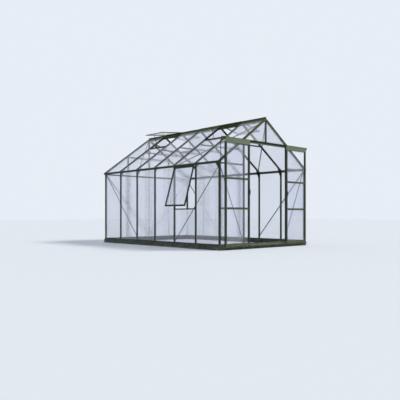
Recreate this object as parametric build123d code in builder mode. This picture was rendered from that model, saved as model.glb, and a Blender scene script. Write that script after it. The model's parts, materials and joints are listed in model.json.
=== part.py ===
from build123d import *
import os
from math import atan2, cos, radians, sin, tan

# A garden greenhouse: an aluminium frame on a steel base, glazed all round with
# twin wall polycarbonate. The front gable has a pair of sliding doors that hang
# outside the wall from a top track. Each roof slope has two vents hinged at the
# ridge, and the left wall has one top hung window.
#
# X runs to the right across the front gable, Y runs back along the house and Z
# is up. The origin is on the ground under the middle of the front gable. Frame
# members are placed by their axis, a line or plane through the whole frame, and
# a wall section is drawn with its distance outside that axis plane as "out".

# The bays and the heights of the frame's axes above the ground
bay = 620.0
side_bays = 6
half_gable_bays = 2
eave_height = 1588.0
ridge_height = 2468.0

# Steel base rail, a channel that is open to the inside
base_height = 60.0
base_out = 28.0
base_in = 20.0
base_wall = 3.0

# Aluminium sill on the base rail, with a sloping drip face and a pane slot
sill_height = 45.0
sill_drip_out = 32.0
sill_drip_height = 4.0
sill_top_out = 18.5
sill_in = 23.0
sill_inner_bevel = 9.0
sill_slope_drop = 21.0

# Panes and the slots that hold their edges
pane = 6.0
slot_width = 6.6
slot_depth = 10.0
pane_clear = 0.5
glaze_out = 12.0

# Glazing bar: two flanges that hold the panes and a stem with a bolt channel
flange = 32.0
flange_wall = 1.7
bar_web = 8.0
stem = 18.0
stem_in = 14.0
bolt_throat = 7.0
bolt_channel = 13.0
bolt_lip = 2.5
bolt_channel_depth = 7.5

# Corner posts and gable rafters share one angle section: outer faces, lips over
# the pane edges, and arms behind the panes. The arm in the gable, or on a rafter
# the one under the roof panes, is the longer one.
post_out = 17.0
post_lip = 8.0
post_reach = 18.0
post_long_reach = 22.0
post_slot_end = 0.0
post_round = 5.0

# Eave beam with its gutter
eave_in = 0.0
eave_body_out = 23.0
eave_drop = 25.0
gutter_out = 45.0
gutter_drop = 38.0
gutter_wall = 2.5
gutter_lip_drop = 0.0
gutter_round = 6.0
gutter_cap_wall = 2.5
roof_overhang = 30.0

# Ridge beam with a cap that covers the pane edges
ridge_half = 12.0
ridge_body_drop = 28.0
ridge_foot_half = 10.0
ridge_foot_drop = 45.0
ridge_web_half = 3.0
ridge_head_half = 10.0
ridge_head_rise = 48.0
ridge_head_height = 9.0
ridge_neck_half = 4.0
cap_reach = 46.0
cap_wall = 3.0
cap_over_post = 0.3

# Rails between the gable studs
rail_height = 30.0
rail_wall = 2.5
rail_out = 6.5
rail_in = 12.0
mid_rail_height = 745.0
tie_below_eave = 34.0
rail_under_rafter = 2.0
header_height = 1996.5
header_depth = 43.0

# Flat braces, collar ties and eave brackets, bolted to the bars' stems
brace_width = 20.0
brace_wall = 3.5
brace_top_drop = 14.0
brace_foot_rise = 15.0
brace_lap = 4.0
brace_meeting_gap = 1.0
brace_below_ridge = 50.0
collar_reach = 579.0
collar_width = 30.0
plate_wall = 3.0
bracket_reach = 92.0
bracket_drop = 90.0
gusset_start = -8.0
gusset_reach = 92.0
gusset_drop = 112.0
gusset_edge = 12.0
gusset_foot = 18.0
gusset_wall = 2.5

# Roof vents
vent_bay = 1
vent_reach = 562.0
vent_sash_depth = 15.0
vent_side_gap = 5.0
vent_rail = 26.0
vent_front_opening = 21.4
vent_rear_opening = 29.9
vent_stay_width = 12.0
vent_stay_wall = 5.0
vent_stay_back = 6.0
vent_upstand = 28.0

# Side window
window_bay = 1
window_sill_height = 745.0
window_height = 790.0
window_depth = 18.0
window_side_gap = 18.0
window_frame = 28.0
window_opening = 17.0
window_stay_height = 1310.0
window_stay_wall = 4.0
window_stay_width = 12.0
seat_gap = 0.3

# Sliding doors, shown open
leaf_width = 647.0
leaf_depth = 25.0
leaf_out = 75.0
leaf_bottom = 60.0
leaf_stile = 40.0
leaf_open_edge = 535.0
leaf_edge_bevel = 2.0
leaf_bottom_rail = 55.0
leaf_rail = 30.0
leaf_mid_rise = 685.0
leaf_upper_rise = 1225.0
leaf_top_gap = 26.0
hanger_height = 88.0
hanger_wall = 3.0

# Door track, rollers and bottom guide
track_past_leaf = 43.0
track_wall = 3.0
track_height = 43.0
track_lip_out = 66.0
track_lip_height = 10.0
track_cover_out = 79.0
track_cover_lip = 9.0
roller_groove = 10.0
roller_rim = 13.0
roller_width = 8.0
roller_groove_width = 4.0
roller_bore = 4.3
roller_pin = 4.0
roller_inset = 60.0
roller_gap = 0.3
guide_lip_out = 75.0
guide_lip_wall = 3.0
guide_lip_height = 13.0
guide_shelf_out = 95.0
guide_drop = 10.0
guide_groove = 14.0
guide_groove_depth = 15.0

# Door handles
handle_height = 1050.0
handle_length = 110.0
handle_reach = 26.0
handle_width = 16.0
handle_wall = 6.0
handle_round = 7.0

# How far cutting shapes and uncut bars reach past the frame, along a slope and
# past the walls
overrun = 420.0
overshoot = 46.0

# Sizes that follow from the ones above
half_width = half_gable_bays * bay
length = side_bays * bay
jamb_x = half_width - bay
pitch = atan2(ridge_height - eave_height, half_width)
rise = tan(pitch)
along_x, along_z = cos(pitch), sin(pitch)
sill_top = base_height + sill_height
slot_outer = glaze_out + slot_width / 2
slot_inner = glaze_out - slot_width / 2
bar_face = slot_outer + flange_wall
bar_edge = bar_web / 2 + pane_clear
post_edge = post_slot_end + pane_clear
eave_underside = eave_height - eave_drop
ridge_underside = ridge_height - ridge_foot_drop
header_bottom = header_height - header_depth / 2
header_top = header_height + header_depth / 2
leaf_top = header_bottom - leaf_top_gap
leaf_glass_top = leaf_top - leaf_rail
leaf_inner = leaf_open_edge
leaf_outer = leaf_open_edge + leaf_width
track_half = leaf_outer + track_past_leaf
middle_of_length = Plane.XZ.offset(-length / 2)


def roof_line(x, out=0.0):
    """Height at x of the line that lies "out" above the roof's axis plane."""
    return eave_height + (half_width - abs(x)) * rise + out / along_x


def outline(*points):
    """A flat face with this closed outline."""
    with BuildSketch() as drawing:
        with BuildLine():
            Polyline(*points, close=True)
        make_face()
    return drawing.sketch


def pane_span(index, bays):
    """Where the pane of one bay starts and ends along a wall of so many bays."""
    start = index * bay + (post_edge if index == 0 else bar_edge)
    end = (index + 1) * bay - (post_edge if index == bays - 1 else bar_edge)
    return start, end


def section_at(y):
    """A plane across the house at y, drawn in X and Z."""
    return Plane(origin=(0, y, 0), x_dir=(1, 0, 0), z_dir=(0, -1, 0))


def cut_section(section, start, reach):
    """Cut a section drawn in X and Z out of the part, from start back by reach."""
    with BuildSketch(section_at(start)) as cutter:
        add(section)
    extrude(cutter.sketch, amount=-reach, mode=Mode.SUBTRACT)


def roof_section_at(y):
    """A plane across the left slope at y, drawn up the slope and out of it."""
    return Plane(
        origin=(-half_width, y, eave_height),
        x_dir=(along_x, 0, along_z),
        z_dir=(0, -1, 0),
    )


def finish(part, name):
    """Label a finished piece and write its file."""
    part.label = name
    export_step(part, f"parts/{name}.step")
    print(name, len(part.solids()), "solids")


os.makedirs("parts", exist_ok=True)

# Section of a glazing bar: across it in X, out of the wall in Y
with BuildSketch() as bar_drawing:
    with BuildLine():
        Polyline(
            (0, bar_face),
            (flange / 2, bar_face),
            (flange / 2, slot_outer),
            (bar_web / 2, slot_outer),
            (bar_web / 2, slot_inner),
            (flange / 2, slot_inner),
            (flange / 2, slot_inner - flange_wall),
            (stem / 2, slot_inner - flange_wall),
            (stem / 2, -stem_in),
            (bolt_throat / 2, -stem_in),
            (bolt_throat / 2, -stem_in + bolt_lip),
            (bolt_channel / 2, -stem_in + bolt_lip),
            (bolt_channel / 2, -stem_in + bolt_lip + bolt_channel_depth),
            (0, -stem_in + bolt_lip + bolt_channel_depth),
        )
        mirror(about=Plane.YZ)
    make_face()
bar_section = bar_drawing.sketch

# Section of a corner post, its two arms along X and Y and its back at the outer
# corner. The same angle, turned, is a gable rafter.
with BuildSketch() as post_drawing:
    with BuildLine():
        Polyline(
            (-post_out, -post_out),
            (post_lip, -post_out),
            (post_lip, -slot_outer),
            (post_slot_end, -slot_outer),
            (post_slot_end, -slot_inner),
            (post_long_reach, -slot_inner),
            (post_long_reach, stem_in),
            (stem_in, stem_in),
            (stem_in, post_reach),
            (-slot_inner, post_reach),
            (-slot_inner, post_slot_end),
            (-slot_outer, post_slot_end),
            (-slot_outer, post_lip),
            (-post_out, post_lip),
            close=True,
        )
    make_face()
    fillet(post_drawing.vertices().sort_by_distance((-post_out, -post_out))[0], post_round)
post_section = post_drawing.sketch

# Steel base rails, mitred at the corners
base_points = (
    (base_out, 0),
    (base_out, base_height),
    (-base_in, base_height),
    (-base_in, base_height - base_wall),
    (base_out - base_wall, base_height - base_wall),
    (base_out - base_wall, base_wall),
    (-base_in, base_wall),
    (-base_in, 0),
)
left_mitre = Plane(origin=(-half_width, 0, 0), z_dir=(-1, 1, 0))
left_rear_mitre = Plane(origin=(-half_width, length, 0), z_dir=(-1, -1, 0))
front_left_mitre = Plane(origin=(-half_width, 0, 0), z_dir=(1, -1, 0))
front_right_mitre = Plane(origin=(half_width, 0, 0), z_dir=(-1, -1, 0))

with BuildPart() as side_base_rails:
    with BuildSketch(section_at(-overshoot)):
        add(outline(*[(-half_width - out, z) for out, z in base_points]))
    extrude(amount=-(length + 2 * overshoot))
    split(bisect_by=left_mitre)
    split(bisect_by=left_rear_mitre)
    mirror(about=Plane.YZ)
finish(side_base_rails.part, "side_base_rails")

with BuildPart() as gable_base_rails:
    with BuildSketch(Plane.YZ.offset(-half_width - overshoot)):
        add(outline(*[(-out, z) for out, z in base_points]))
    extrude(amount=2 * (half_width + overshoot))
    split(bisect_by=front_left_mitre)
    split(bisect_by=front_right_mitre)
    mirror(about=middle_of_length)
finish(gable_base_rails.part, "gable_base_rails")

# Sills, mitred like the base rails. The front one also has the door guide, a
# shelf in front of the base with a lip that runs in a groove under the leaves.
sill_points = (
    (-sill_in, base_height),
    (sill_drip_out, base_height),
    (sill_drip_out, base_height + sill_drip_height),
    (sill_top_out, sill_top - sill_slope_drop),
    (sill_top_out, sill_top),
    (slot_outer, sill_top),
    (slot_outer, sill_top - slot_depth),
    (slot_inner, sill_top - slot_depth),
    (slot_inner, sill_top),
    (-stem_in, sill_top),
    (-sill_in, sill_top - sill_inner_bevel),
)
guide_base = base_height - guide_drop
guide_shelf = guide_base + guide_lip_wall
guide_lip_half = guide_lip_wall / 2
guide_points = (
    (base_out, guide_base),
    (guide_shelf_out, guide_base),
    (guide_shelf_out, guide_shelf + guide_lip_wall),
    (guide_shelf_out - guide_lip_wall, guide_shelf + guide_lip_wall),
    (guide_shelf_out - guide_lip_wall, guide_shelf),
    (guide_lip_out + guide_lip_half, guide_shelf),
    (guide_lip_out + guide_lip_half, guide_shelf + guide_lip_height),
    (guide_lip_out - guide_lip_half, guide_shelf + guide_lip_height),
    (guide_lip_out - guide_lip_half, guide_shelf),
    (sill_drip_out, guide_shelf),
    (sill_drip_out, base_height),
    (base_out, base_height),
)

with BuildPart() as side_sills:
    with BuildSketch(section_at(-overshoot)):
        add(outline(*[(-half_width - out, z) for out, z in sill_points]))
    extrude(amount=-(length + 2 * overshoot))
    split(bisect_by=left_mitre)
    split(bisect_by=left_rear_mitre)
    mirror(about=Plane.YZ)
finish(side_sills.part, "side_sills")

with BuildPart() as gable_sills:
    with BuildSketch(Plane.YZ.offset(-half_width - overshoot)):
        add(outline(*[(-out, z) for out, z in sill_points]))
    extrude(amount=2 * (half_width + overshoot))
    split(bisect_by=front_left_mitre)
    split(bisect_by=front_right_mitre)
    mirror(about=middle_of_length)
    with BuildSketch(Plane.YZ.offset(-track_half)):
        add(outline(*[(-out, z) for out, z in guide_points]))
    extrude(amount=2 * track_half)
finish(gable_sills.part, "gable_sills")

# Corner posts, from the sill to the underside of the eave beam
with BuildPart() as corner_posts:
    with BuildSketch(Plane(origin=(-half_width, 0, sill_top), x_dir=(1, 0, 0))):
        add(post_section)
    extrude(amount=eave_underside - sill_top)
    mirror(about=middle_of_length)
    mirror(about=Plane.YZ)
finish(corner_posts.part, "corner_posts")

# Eave beams. The top follows the roof and carries the bars and panes, the body
# has a slot for the wall panes, and the outer trough is the gutter, which is
# closed by a cap at each end.
def seat_rise(out):
    """Height above the eave axis of the seat, at a distance outside the wall."""
    return slot_inner / along_x - out * rise


trough_in = eave_body_out + gutter_wall
eave_points = (
    (-eave_in, -eave_drop),
    (slot_inner, -eave_drop),
    (slot_inner, -eave_drop + slot_depth),
    (slot_outer, -eave_drop + slot_depth),
    (slot_outer, -eave_drop),
    (eave_body_out, -eave_drop),
    (eave_body_out, -gutter_drop),
    (gutter_out, -gutter_drop),
    (gutter_out, -gutter_lip_drop),
    (gutter_out - gutter_wall, -gutter_lip_drop),
    (gutter_out - gutter_wall, -gutter_drop + gutter_wall),
    (trough_in, -gutter_drop + gutter_wall),
    (trough_in, seat_rise(trough_in)),
    (-eave_in, seat_rise(-eave_in)),
)
gutter_cap_in = roof_overhang + pane_clear
gutter_cap_points = (
    (eave_body_out, -gutter_drop),
    (gutter_out, -gutter_drop),
    (gutter_out, -gutter_lip_drop),
    (gutter_cap_in, -gutter_lip_drop),
    (gutter_cap_in, seat_rise(gutter_cap_in)),
    (eave_body_out, seat_rise(eave_body_out)),
)
with BuildPart() as eave_beams:
    with BuildSketch(section_at(-post_out)) as eave_drawing:
        add(outline(*[(-half_width - out, eave_height + z) for out, z in eave_points]))
        low_corner = (-half_width - gutter_out, eave_height - gutter_drop)
        fillet(eave_drawing.vertices().sort_by_distance(low_corner)[0], gutter_round)
    extrude(amount=-(length + 2 * post_out))
    with BuildSketch(section_at(-post_out)) as cap_drawing:
        add(outline(*[(-half_width - out, eave_height + z) for out, z in gutter_cap_points]))
        fillet(cap_drawing.vertices().sort_by_distance(low_corner)[0], gutter_round)
    extrude(amount=-gutter_cap_wall)
    mirror(about=middle_of_length)
    mirror(about=Plane.YZ)
finish(eave_beams.part, "eave_beams")


# Ridge beam: a cap over the pane edges, a head that the vents hinge on, a body
# that the bars butt against and a flanged foot
def cap_line(x, out):
    """Height above the ridge axis of a line over the rafters' outer faces."""
    return (post_out + cap_over_post + out) / along_x - x * rise


with BuildSketch() as ridge_drawing:
    with BuildLine():
        Polyline(
            (0, ridge_head_rise),
            (ridge_head_half, ridge_head_rise),
            (ridge_head_half, ridge_head_rise - ridge_head_height),
            (ridge_neck_half, ridge_head_rise - ridge_head_height),
            (ridge_neck_half, cap_line(ridge_neck_half, cap_wall)),
            (cap_reach, cap_line(cap_reach, cap_wall)),
            (cap_reach, cap_line(cap_reach, 0)),
            (ridge_half, cap_line(ridge_half, 0)),
            (ridge_half, -ridge_body_drop),
            (ridge_web_half, -ridge_body_drop),
            (ridge_web_half, -ridge_foot_drop + cap_wall),
            (ridge_foot_half, -ridge_foot_drop + cap_wall),
            (ridge_foot_half, -ridge_foot_drop),
            (0, -ridge_foot_drop),
        )
        mirror(about=Plane.YZ)
    make_face()

with BuildPart() as ridge_beam:
    with BuildSketch(section_at(-post_out)):
        with Locations((0, ridge_height)):
            add(ridge_drawing.sketch)
    extrude(amount=-(length + 2 * post_out))
finish(ridge_beam.part, "ridge_beam")

# Wall bars stand on the sill and end under the eave beam
wall_plane = Plane(origin=(-half_width, 0, sill_top), x_dir=(0, 1, 0), z_dir=(0, 0, 1))
inner_bars = [(index * bay, 0) for index in range(1, side_bays)]

with BuildPart() as left_wall_bars:
    with BuildSketch(wall_plane):
        with Locations(*inner_bars):
            add(bar_section)
    extrude(amount=eave_underside - sill_top)
finish(left_wall_bars.part, "left_wall_bars")

with BuildPart() as right_wall_bars:
    add(left_wall_bars.part)
    mirror(about=Plane.YZ, mode=Mode.REPLACE)
finish(right_wall_bars.part, "right_wall_bars")

# Roof bars and gable rafters are made too long and then cut: notched over the
# eave beam, trimmed at the drip edge and square against the ridge beam
slope_length = half_width / along_x
roof_plane = Plane(
    origin=(-half_width, 0, eave_height),
    x_dir=(0, 1, 0),
    z_dir=(along_x, 0, along_z),
)
rafter_plane = Plane(
    origin=(-half_width, 0, eave_height),
    x_dir=(0, 1, 0),
    z_dir=(-along_x, 0, -along_z),
)
far_out = half_width + overrun
notch_x = -half_width + eave_in
eave_notch = outline(
    (notch_x, eave_height - overrun),
    (notch_x, roof_line(notch_x, slot_inner)),
    (-far_out, eave_height + (half_width - far_out) * rise + slot_inner / along_x),
    (-far_out, eave_height - overrun),
)
drip_trim = outline(
    (-half_width - roof_overhang, eave_height - overrun),
    (-half_width - roof_overhang, eave_height + overrun),
    (-far_out, eave_height + overrun),
    (-far_out, eave_height - overrun),
)
ridge_trim = outline(
    (-ridge_half, ridge_height - overrun),
    (-ridge_half, ridge_height + overrun),
    (overrun, ridge_height + overrun),
    (overrun, ridge_height - overrun),
)

with BuildPart() as left_roof_bars:
    with BuildSketch(roof_plane.offset(-overrun)):
        with Locations(*inner_bars):
            add(bar_section)
    extrude(amount=slope_length + 2 * overrun)
    for trim in (eave_notch, drip_trim, ridge_trim):
        cut_section(trim, 0, length)
finish(left_roof_bars.part, "left_roof_bars")

with BuildPart() as right_roof_bars:
    add(left_roof_bars.part)
    mirror(about=Plane.YZ, mode=Mode.REPLACE)
finish(right_roof_bars.part, "right_roof_bars")

with BuildPart() as gable_rafters:
    with BuildSketch(rafter_plane.offset(overrun)):
        add(post_section)
    extrude(amount=-(slope_length + 2 * overrun))
    for trim in (eave_notch, drip_trim, ridge_trim):
        cut_section(trim, -overshoot, 2 * overshoot)
    mirror(about=Plane.YZ)
    mirror(about=middle_of_length)
finish(gable_rafters.part, "gable_rafters")

# Gable studs. Their tops are cut along the underside of the rafters, and the
# middle one ends under the foot of the ridge beam.
under_rafter = outline(
    (-half_width, roof_line(half_width, -post_reach)),
    (0, roof_line(0, -post_reach)),
    (half_width, roof_line(half_width, -post_reach)),
    (half_width, ridge_height + overrun),
    (-half_width, ridge_height + overrun),
)
front_wall_plane = Plane(origin=(0, 0, sill_top), x_dir=(-1, 0, 0), z_dir=(0, 0, 1))
rear_wall_plane = Plane(origin=(0, length, sill_top), x_dir=(1, 0, 0), z_dir=(0, 0, 1))

with BuildPart() as front_gable_studs:
    with BuildSketch(front_wall_plane):
        with Locations((-jamb_x, 0), (jamb_x, 0)):
            add(bar_section)
    extrude(amount=ridge_underside - sill_top)
    with BuildSketch(front_wall_plane.offset(header_top - sill_top)):
        add(bar_section)
    extrude(amount=ridge_underside - header_top)
    cut_section(under_rafter, -overshoot, 2 * overshoot)
finish(front_gable_studs.part, "front_gable_studs")

rear_studs_x = [index * bay for index in range(1 - half_gable_bays, half_gable_bays)]
with BuildPart() as rear_gable_studs:
    with BuildSketch(rear_wall_plane):
        with Locations(*[(x, 0) for x in rear_studs_x]):
            add(bar_section)
    extrude(amount=ridge_underside - sill_top)
    cut_section(under_rafter, length - overshoot, 2 * overshoot)
finish(rear_gable_studs.part, "rear_gable_studs")

# Short channel rails between posts and studs, open to the inside. The front gable
# also has the door header, which joins the jambs, carries the track on its outer
# face and has a slot for the two panes above it.
rail_points = (
    (rail_out, -rail_height / 2),
    (rail_out, rail_height / 2),
    (-rail_in, rail_height / 2),
    (-rail_in, rail_height / 2 - rail_wall),
    (rail_out - rail_wall, rail_height / 2 - rail_wall),
    (rail_out - rail_wall, -rail_height / 2 + rail_wall),
    (-rail_in, -rail_height / 2 + rail_wall),
    (-rail_in, -rail_height / 2),
)
outer_rail_start = -half_width + post_long_reach
outer_rail_end = -jamb_x - stem / 2
tie_height = eave_height - tie_below_eave
under_rafter_height = roof_line(bay - stem / 2, -post_reach)
rear_collar_height = under_rafter_height - rail_under_rafter - rail_height / 2

header_half = jamb_x - flange / 2
header_points = (
    (-stem_in, header_bottom),
    (post_out, header_bottom),
    (post_out, header_top),
    (slot_outer, header_top),
    (slot_outer, header_top - slot_depth),
    (slot_inner, header_top - slot_depth),
    (slot_inner, header_top),
    (-stem_in, header_top),
)
with BuildPart() as front_gable_rails:
    with BuildSketch(Plane.YZ.offset(outer_rail_start)):
        for height in (mid_rail_height, tie_height):
            add(outline(*[(-out, height + z) for out, z in rail_points]))
    extrude(amount=outer_rail_end - outer_rail_start)
    mirror(about=Plane.YZ)
    with BuildSketch(Plane.YZ.offset(-header_half)):
        add(outline(*[(-out, z) for out, z in header_points]))
    extrude(amount=2 * header_half)
    cut_section(under_rafter, -overshoot, 2 * overshoot)
finish(front_gable_rails.part, "front_gable_rails")

with BuildPart() as rear_gable_rails:
    with BuildSketch(Plane.YZ.offset(outer_rail_start)):
        add(outline(*[(length + out, tie_height + z) for out, z in rail_points]))
    extrude(amount=outer_rail_end - outer_rail_start)
    for index in range(1, half_gable_bays):
        inner_start = -index * bay + stem / 2
        with BuildSketch(Plane.YZ.offset(inner_start)):
            for height in (tie_height, rear_collar_height):
                add(outline(*[(length + out, height + z) for out, z in rail_points]))
        extrude(amount=bay - stem)
    mirror(about=Plane.YZ)
finish(rear_gable_rails.part, "rear_gable_rails")

# Collar ties and eave brackets are plates on the side of the bars' stems, the
# side that faces away from the nearer gable
def plate_start(index):
    """Where the plates on bar number index start along Y."""
    if index <= side_bays / 2:
        return index * bay + stem / 2
    return index * bay - stem / 2 - plate_wall


collar_low = roof_line(collar_reach) - collar_width / 2
collar_high = collar_low + collar_width
stem_top = slot_inner - flange_wall - pane_clear


def collar_x(height):
    """How far from the middle a collar tie ends at this height."""
    return half_width - (height - eave_height - stem_top / along_x) / rise


with BuildPart() as collar_ties:
    for index in range(1, side_bays):
        with BuildSketch(section_at(plate_start(index))):
            add(outline(
                (-collar_x(collar_low), collar_low),
                (collar_x(collar_low), collar_low),
                (collar_x(collar_high), collar_high),
                (-collar_x(collar_high), collar_high),
            ))
        extrude(amount=-plate_wall)
finish(collar_ties.part, "collar_ties")

bracket_x = notch_x + bracket_reach
bracket_foot = eave_underside - bracket_drop
bracket_lap = stem_in - eave_in + plate_wall
with BuildPart() as eave_brackets:
    for index in range(1, side_bays):
        with BuildSketch(section_at(plate_start(index))):
            add(outline(
                (notch_x, bracket_foot),
                (notch_x, roof_line(notch_x, stem_top)),
                (bracket_x, roof_line(bracket_x, stem_top)),
                (bracket_x, roof_line(bracket_x, -stem_in)),
                (notch_x + bracket_lap, bracket_foot),
            ))
        extrude(amount=-plate_wall)
    mirror(about=Plane.YZ)
    # Gussets stiffen the corners of the side walls. They lie on the outer faces of
    # the posts, under the eave beam and behind the gutter.
    with BuildSketch(Plane.YZ.offset(-half_width - post_out)):
        for start, away in ((gusset_start, 1), (length - gusset_start, -1)):
            add(outline(
                (start, eave_underside),
                (start + away * gusset_reach, eave_underside),
                (start + away * gusset_reach, eave_underside - gusset_edge),
                (start + away * gusset_foot, eave_underside - gusset_drop),
                (start, eave_underside - gusset_drop),
            ))
    extrude(amount=-gusset_wall)
    mirror(about=Plane.YZ)
finish(eave_brackets.part, "eave_brackets")

# Flat diagonal braces on the inner faces of the stems
brace_start = post_reach - brace_lap
gable_brace_start = post_long_reach - brace_lap
brace_top = eave_underside - brace_top_drop
brace_foot = sill_top + brace_foot_rise


def brace_outline(start, start_height, end, end_height):
    """A brace between two upright lines, its width measured square to it."""
    slant = atan2(end_height - start_height, end - start)
    half = brace_width / 2 / cos(slant)
    return outline(
        (start, start_height - half),
        (end, end_height - half),
        (end, end_height + half),
        (start, start_height + half),
    )


side_brace_end = 2 * bay + stem / 2
with BuildPart() as wall_braces:
    with BuildSketch(Plane.YZ.offset(-half_width + stem_in)):
        add(brace_outline(brace_start, brace_top - brace_width, side_brace_end, brace_foot))
    extrude(amount=brace_wall)
    with BuildSketch(section_at(stem_in)):
        add(brace_outline(
            -half_width + gable_brace_start, brace_top - brace_width,
            -jamb_x + stem / 2, brace_foot + brace_width,
        ))
    extrude(amount=-brace_wall)
    mirror(about=Plane.YZ)
    with BuildSketch(Plane.YZ.offset(-half_width + stem_in)):
        add(brace_outline(
            length - brace_start, brace_top - brace_width, length - side_brace_end, brace_foot
        ))
    extrude(amount=brace_wall)
    with BuildSketch(section_at(length - stem_in - brace_wall)):
        add(brace_outline(
            -half_width + gable_brace_start, brace_top - brace_width,
            -brace_meeting_gap, brace_foot,
        ))
    extrude(amount=-brace_wall)
    mirror(about=Plane.YZ)
finish(wall_braces.part, "wall_braces")

# Roof braces lie under the stems, from the eave two bays in up to the ridge at
# the gable. The plane is drawn along the house in X and up the slope in Y.
brace_plane = Plane(
    origin=(
        -half_width + (stem_in + brace_wall) * along_z,
        0,
        eave_height - (stem_in + brace_wall) * along_x,
    ),
    x_dir=(0, -1, 0),
    z_dir=(-along_z, 0, along_x),
)
roof_brace_low = brace_width
roof_brace_high = slope_length - brace_below_ridge
with BuildPart() as roof_braces:
    with BuildSketch(brace_plane):
        add(brace_outline(-side_brace_end, roof_brace_low, -brace_start, roof_brace_high))
    extrude(amount=brace_wall)
    mirror(about=Plane.YZ)
    mirror(about=middle_of_length)
finish(roof_braces.part, "roof_braces")

# Wall panes, held in the slots of the sills, bars, posts and eave beams
pane_bottom = sill_top - slot_depth + pane_clear
wall_pane_top = eave_underside + slot_depth - pane_clear
window_sill_drop = 12.0
window_pane_top = window_sill_height - pane_clear - window_sill_drop + slot_depth
with BuildPart() as left_wall_glazing:
    with BuildSketch(Plane.YZ.offset(-half_width - glaze_out)):
        for index in range(side_bays):
            start, end = pane_span(index, side_bays)
            top = window_pane_top if index == window_bay else wall_pane_top
            with Locations(((start + end) / 2, (pane_bottom + top) / 2)):
                Rectangle(end - start, top - pane_bottom)
    extrude(amount=pane / 2, both=True)
finish(left_wall_glazing.part, "left_wall_glazing")

with BuildPart() as right_wall_glazing:
    with BuildSketch(Plane.YZ.offset(half_width + glaze_out)):
        for index in range(side_bays):
            start, end = pane_span(index, side_bays)
            with Locations(((start + end) / 2, (pane_bottom + wall_pane_top) / 2)):
                Rectangle(end - start, wall_pane_top - pane_bottom)
    extrude(amount=pane / 2, both=True)
finish(right_wall_glazing.part, "right_wall_glazing")

# Gable panes reach up into the slots of the rafters. The ones beside the middle
# stud are cut level below the ridge beam.
gable_pane_top = ridge_underside - pane_clear
header_pane_bottom = header_top - slot_depth + pane_clear


def pane_line(x):
    """Height of a gable pane's top edge at x."""
    return roof_line(x, -post_edge)


def pane_line_x(height):
    """How far from the middle that edge is at this height."""
    return half_width - (height - eave_height + post_edge / along_x) / rise


outer_pane = outline(
    (jamb_x + bar_edge, pane_bottom),
    (half_width - post_edge, pane_bottom),
    (half_width - post_edge, pane_line(half_width - post_edge)),
    (jamb_x + bar_edge, pane_line(jamb_x + bar_edge)),
)
upper_pane = outline(
    (bar_edge, header_pane_bottom),
    (jamb_x - bar_edge, header_pane_bottom),
    (jamb_x - bar_edge, pane_line(jamb_x - bar_edge)),
    (pane_line_x(gable_pane_top), gable_pane_top),
    (bar_edge, gable_pane_top),
)
inner_pane = outline(
    (bar_edge, pane_bottom),
    (bay - bar_edge, pane_bottom),
    (bay - bar_edge, pane_line(bay - bar_edge)),
    (pane_line_x(gable_pane_top), gable_pane_top),
    (bar_edge, gable_pane_top),
)

with BuildPart() as front_gable_glazing:
    with BuildSketch(section_at(-glaze_out)):
        add(outer_pane)
        add(upper_pane)
    extrude(amount=pane / 2, both=True)
    mirror(about=Plane.YZ)
finish(front_gable_glazing.part, "front_gable_glazing")

with BuildPart() as rear_gable_glazing:
    with BuildSketch(section_at(length + glaze_out)):
        add(outer_pane)
        add(inner_pane)
    extrude(amount=pane / 2, both=True)
    mirror(about=Plane.YZ)
finish(rear_gable_glazing.part, "rear_gable_glazing")

# Roof panes run from the gutter to the ridge, or to the sill bar of a vent
vent_bays = (vent_bay, side_bays - 1 - vent_bay)
vent_sill_at = slope_length - vent_reach
pane_low = -(roof_overhang - glaze_out * along_z) / along_x
pane_high = (half_width - ridge_half - pane_clear + (glaze_out - pane / 2) * along_z) / along_x
sill_slot_back = 2.0
sill_body = 8.0
with BuildPart() as left_roof_glazing:
    for index in range(side_bays):
        start, end = pane_span(index, side_bays)
        in_vent_bay = index in vent_bays
        high = vent_sill_at - sill_slot_back - pane_clear if in_vent_bay else pane_high
        with BuildSketch(roof_section_at(start)):
            with Locations(((pane_low + high) / 2, glaze_out)):
                Rectangle(high - pane_low, pane)
        extrude(amount=-(end - start))
finish(left_roof_glazing.part, "left_roof_glazing")

with BuildPart() as right_roof_glazing:
    add(left_roof_glazing.part)
    mirror(about=Plane.YZ, mode=Mode.REPLACE)
finish(right_roof_glazing.part, "right_roof_glazing")

# Sill bars under the vents and the window: a slot for the pane below and an
# upstand that the sash closes on. Drawn towards the sash in X, outwards in Y.
opening_sill = outline(
    (-sill_body + plate_wall, -sill_body),
    (sill_body, -sill_body),
    (sill_body, vent_upstand),
    (sill_body - plate_wall, vent_upstand),
    (sill_body - plate_wall, bar_face),
    (-window_sill_drop, bar_face),
    (-window_sill_drop, slot_outer),
    (-sill_slot_back, slot_outer),
    (-sill_slot_back, slot_inner),
    (-window_sill_drop, slot_inner),
    (-window_sill_drop, slot_inner - flange_wall),
    (-sill_body + plate_wall, slot_inner - flange_wall),
)
sill_bar_length = bay - flange
with BuildPart() as opening_sills:
    for index in vent_bays:
        with BuildSketch(roof_section_at(index * bay + flange / 2)):
            with Locations((vent_sill_at, 0)):
                add(opening_sill)
        extrude(amount=-sill_bar_length)
    mirror(about=Plane.YZ)
    window_sill_plane = Plane(
        origin=(-half_width, window_bay * bay + flange / 2, window_sill_height),
        x_dir=(0, 0, 1),
        z_dir=(0, -1, 0),
    )
    with BuildSketch(window_sill_plane):
        add(opening_sill)
    extrude(amount=-sill_bar_length)
finish(opening_sills.part, "opening_sills")

# Vent sashes hang from the ridge head. A sash is drawn lying open, its hinge edge
# at the head, and each pair of vents has its own opening.
sash_half = vent_sash_depth / 2
vent_openings = {
    vent_bay: radians(vent_front_opening),
    side_bays - 1 - vent_bay: radians(vent_rear_opening),
}


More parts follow.
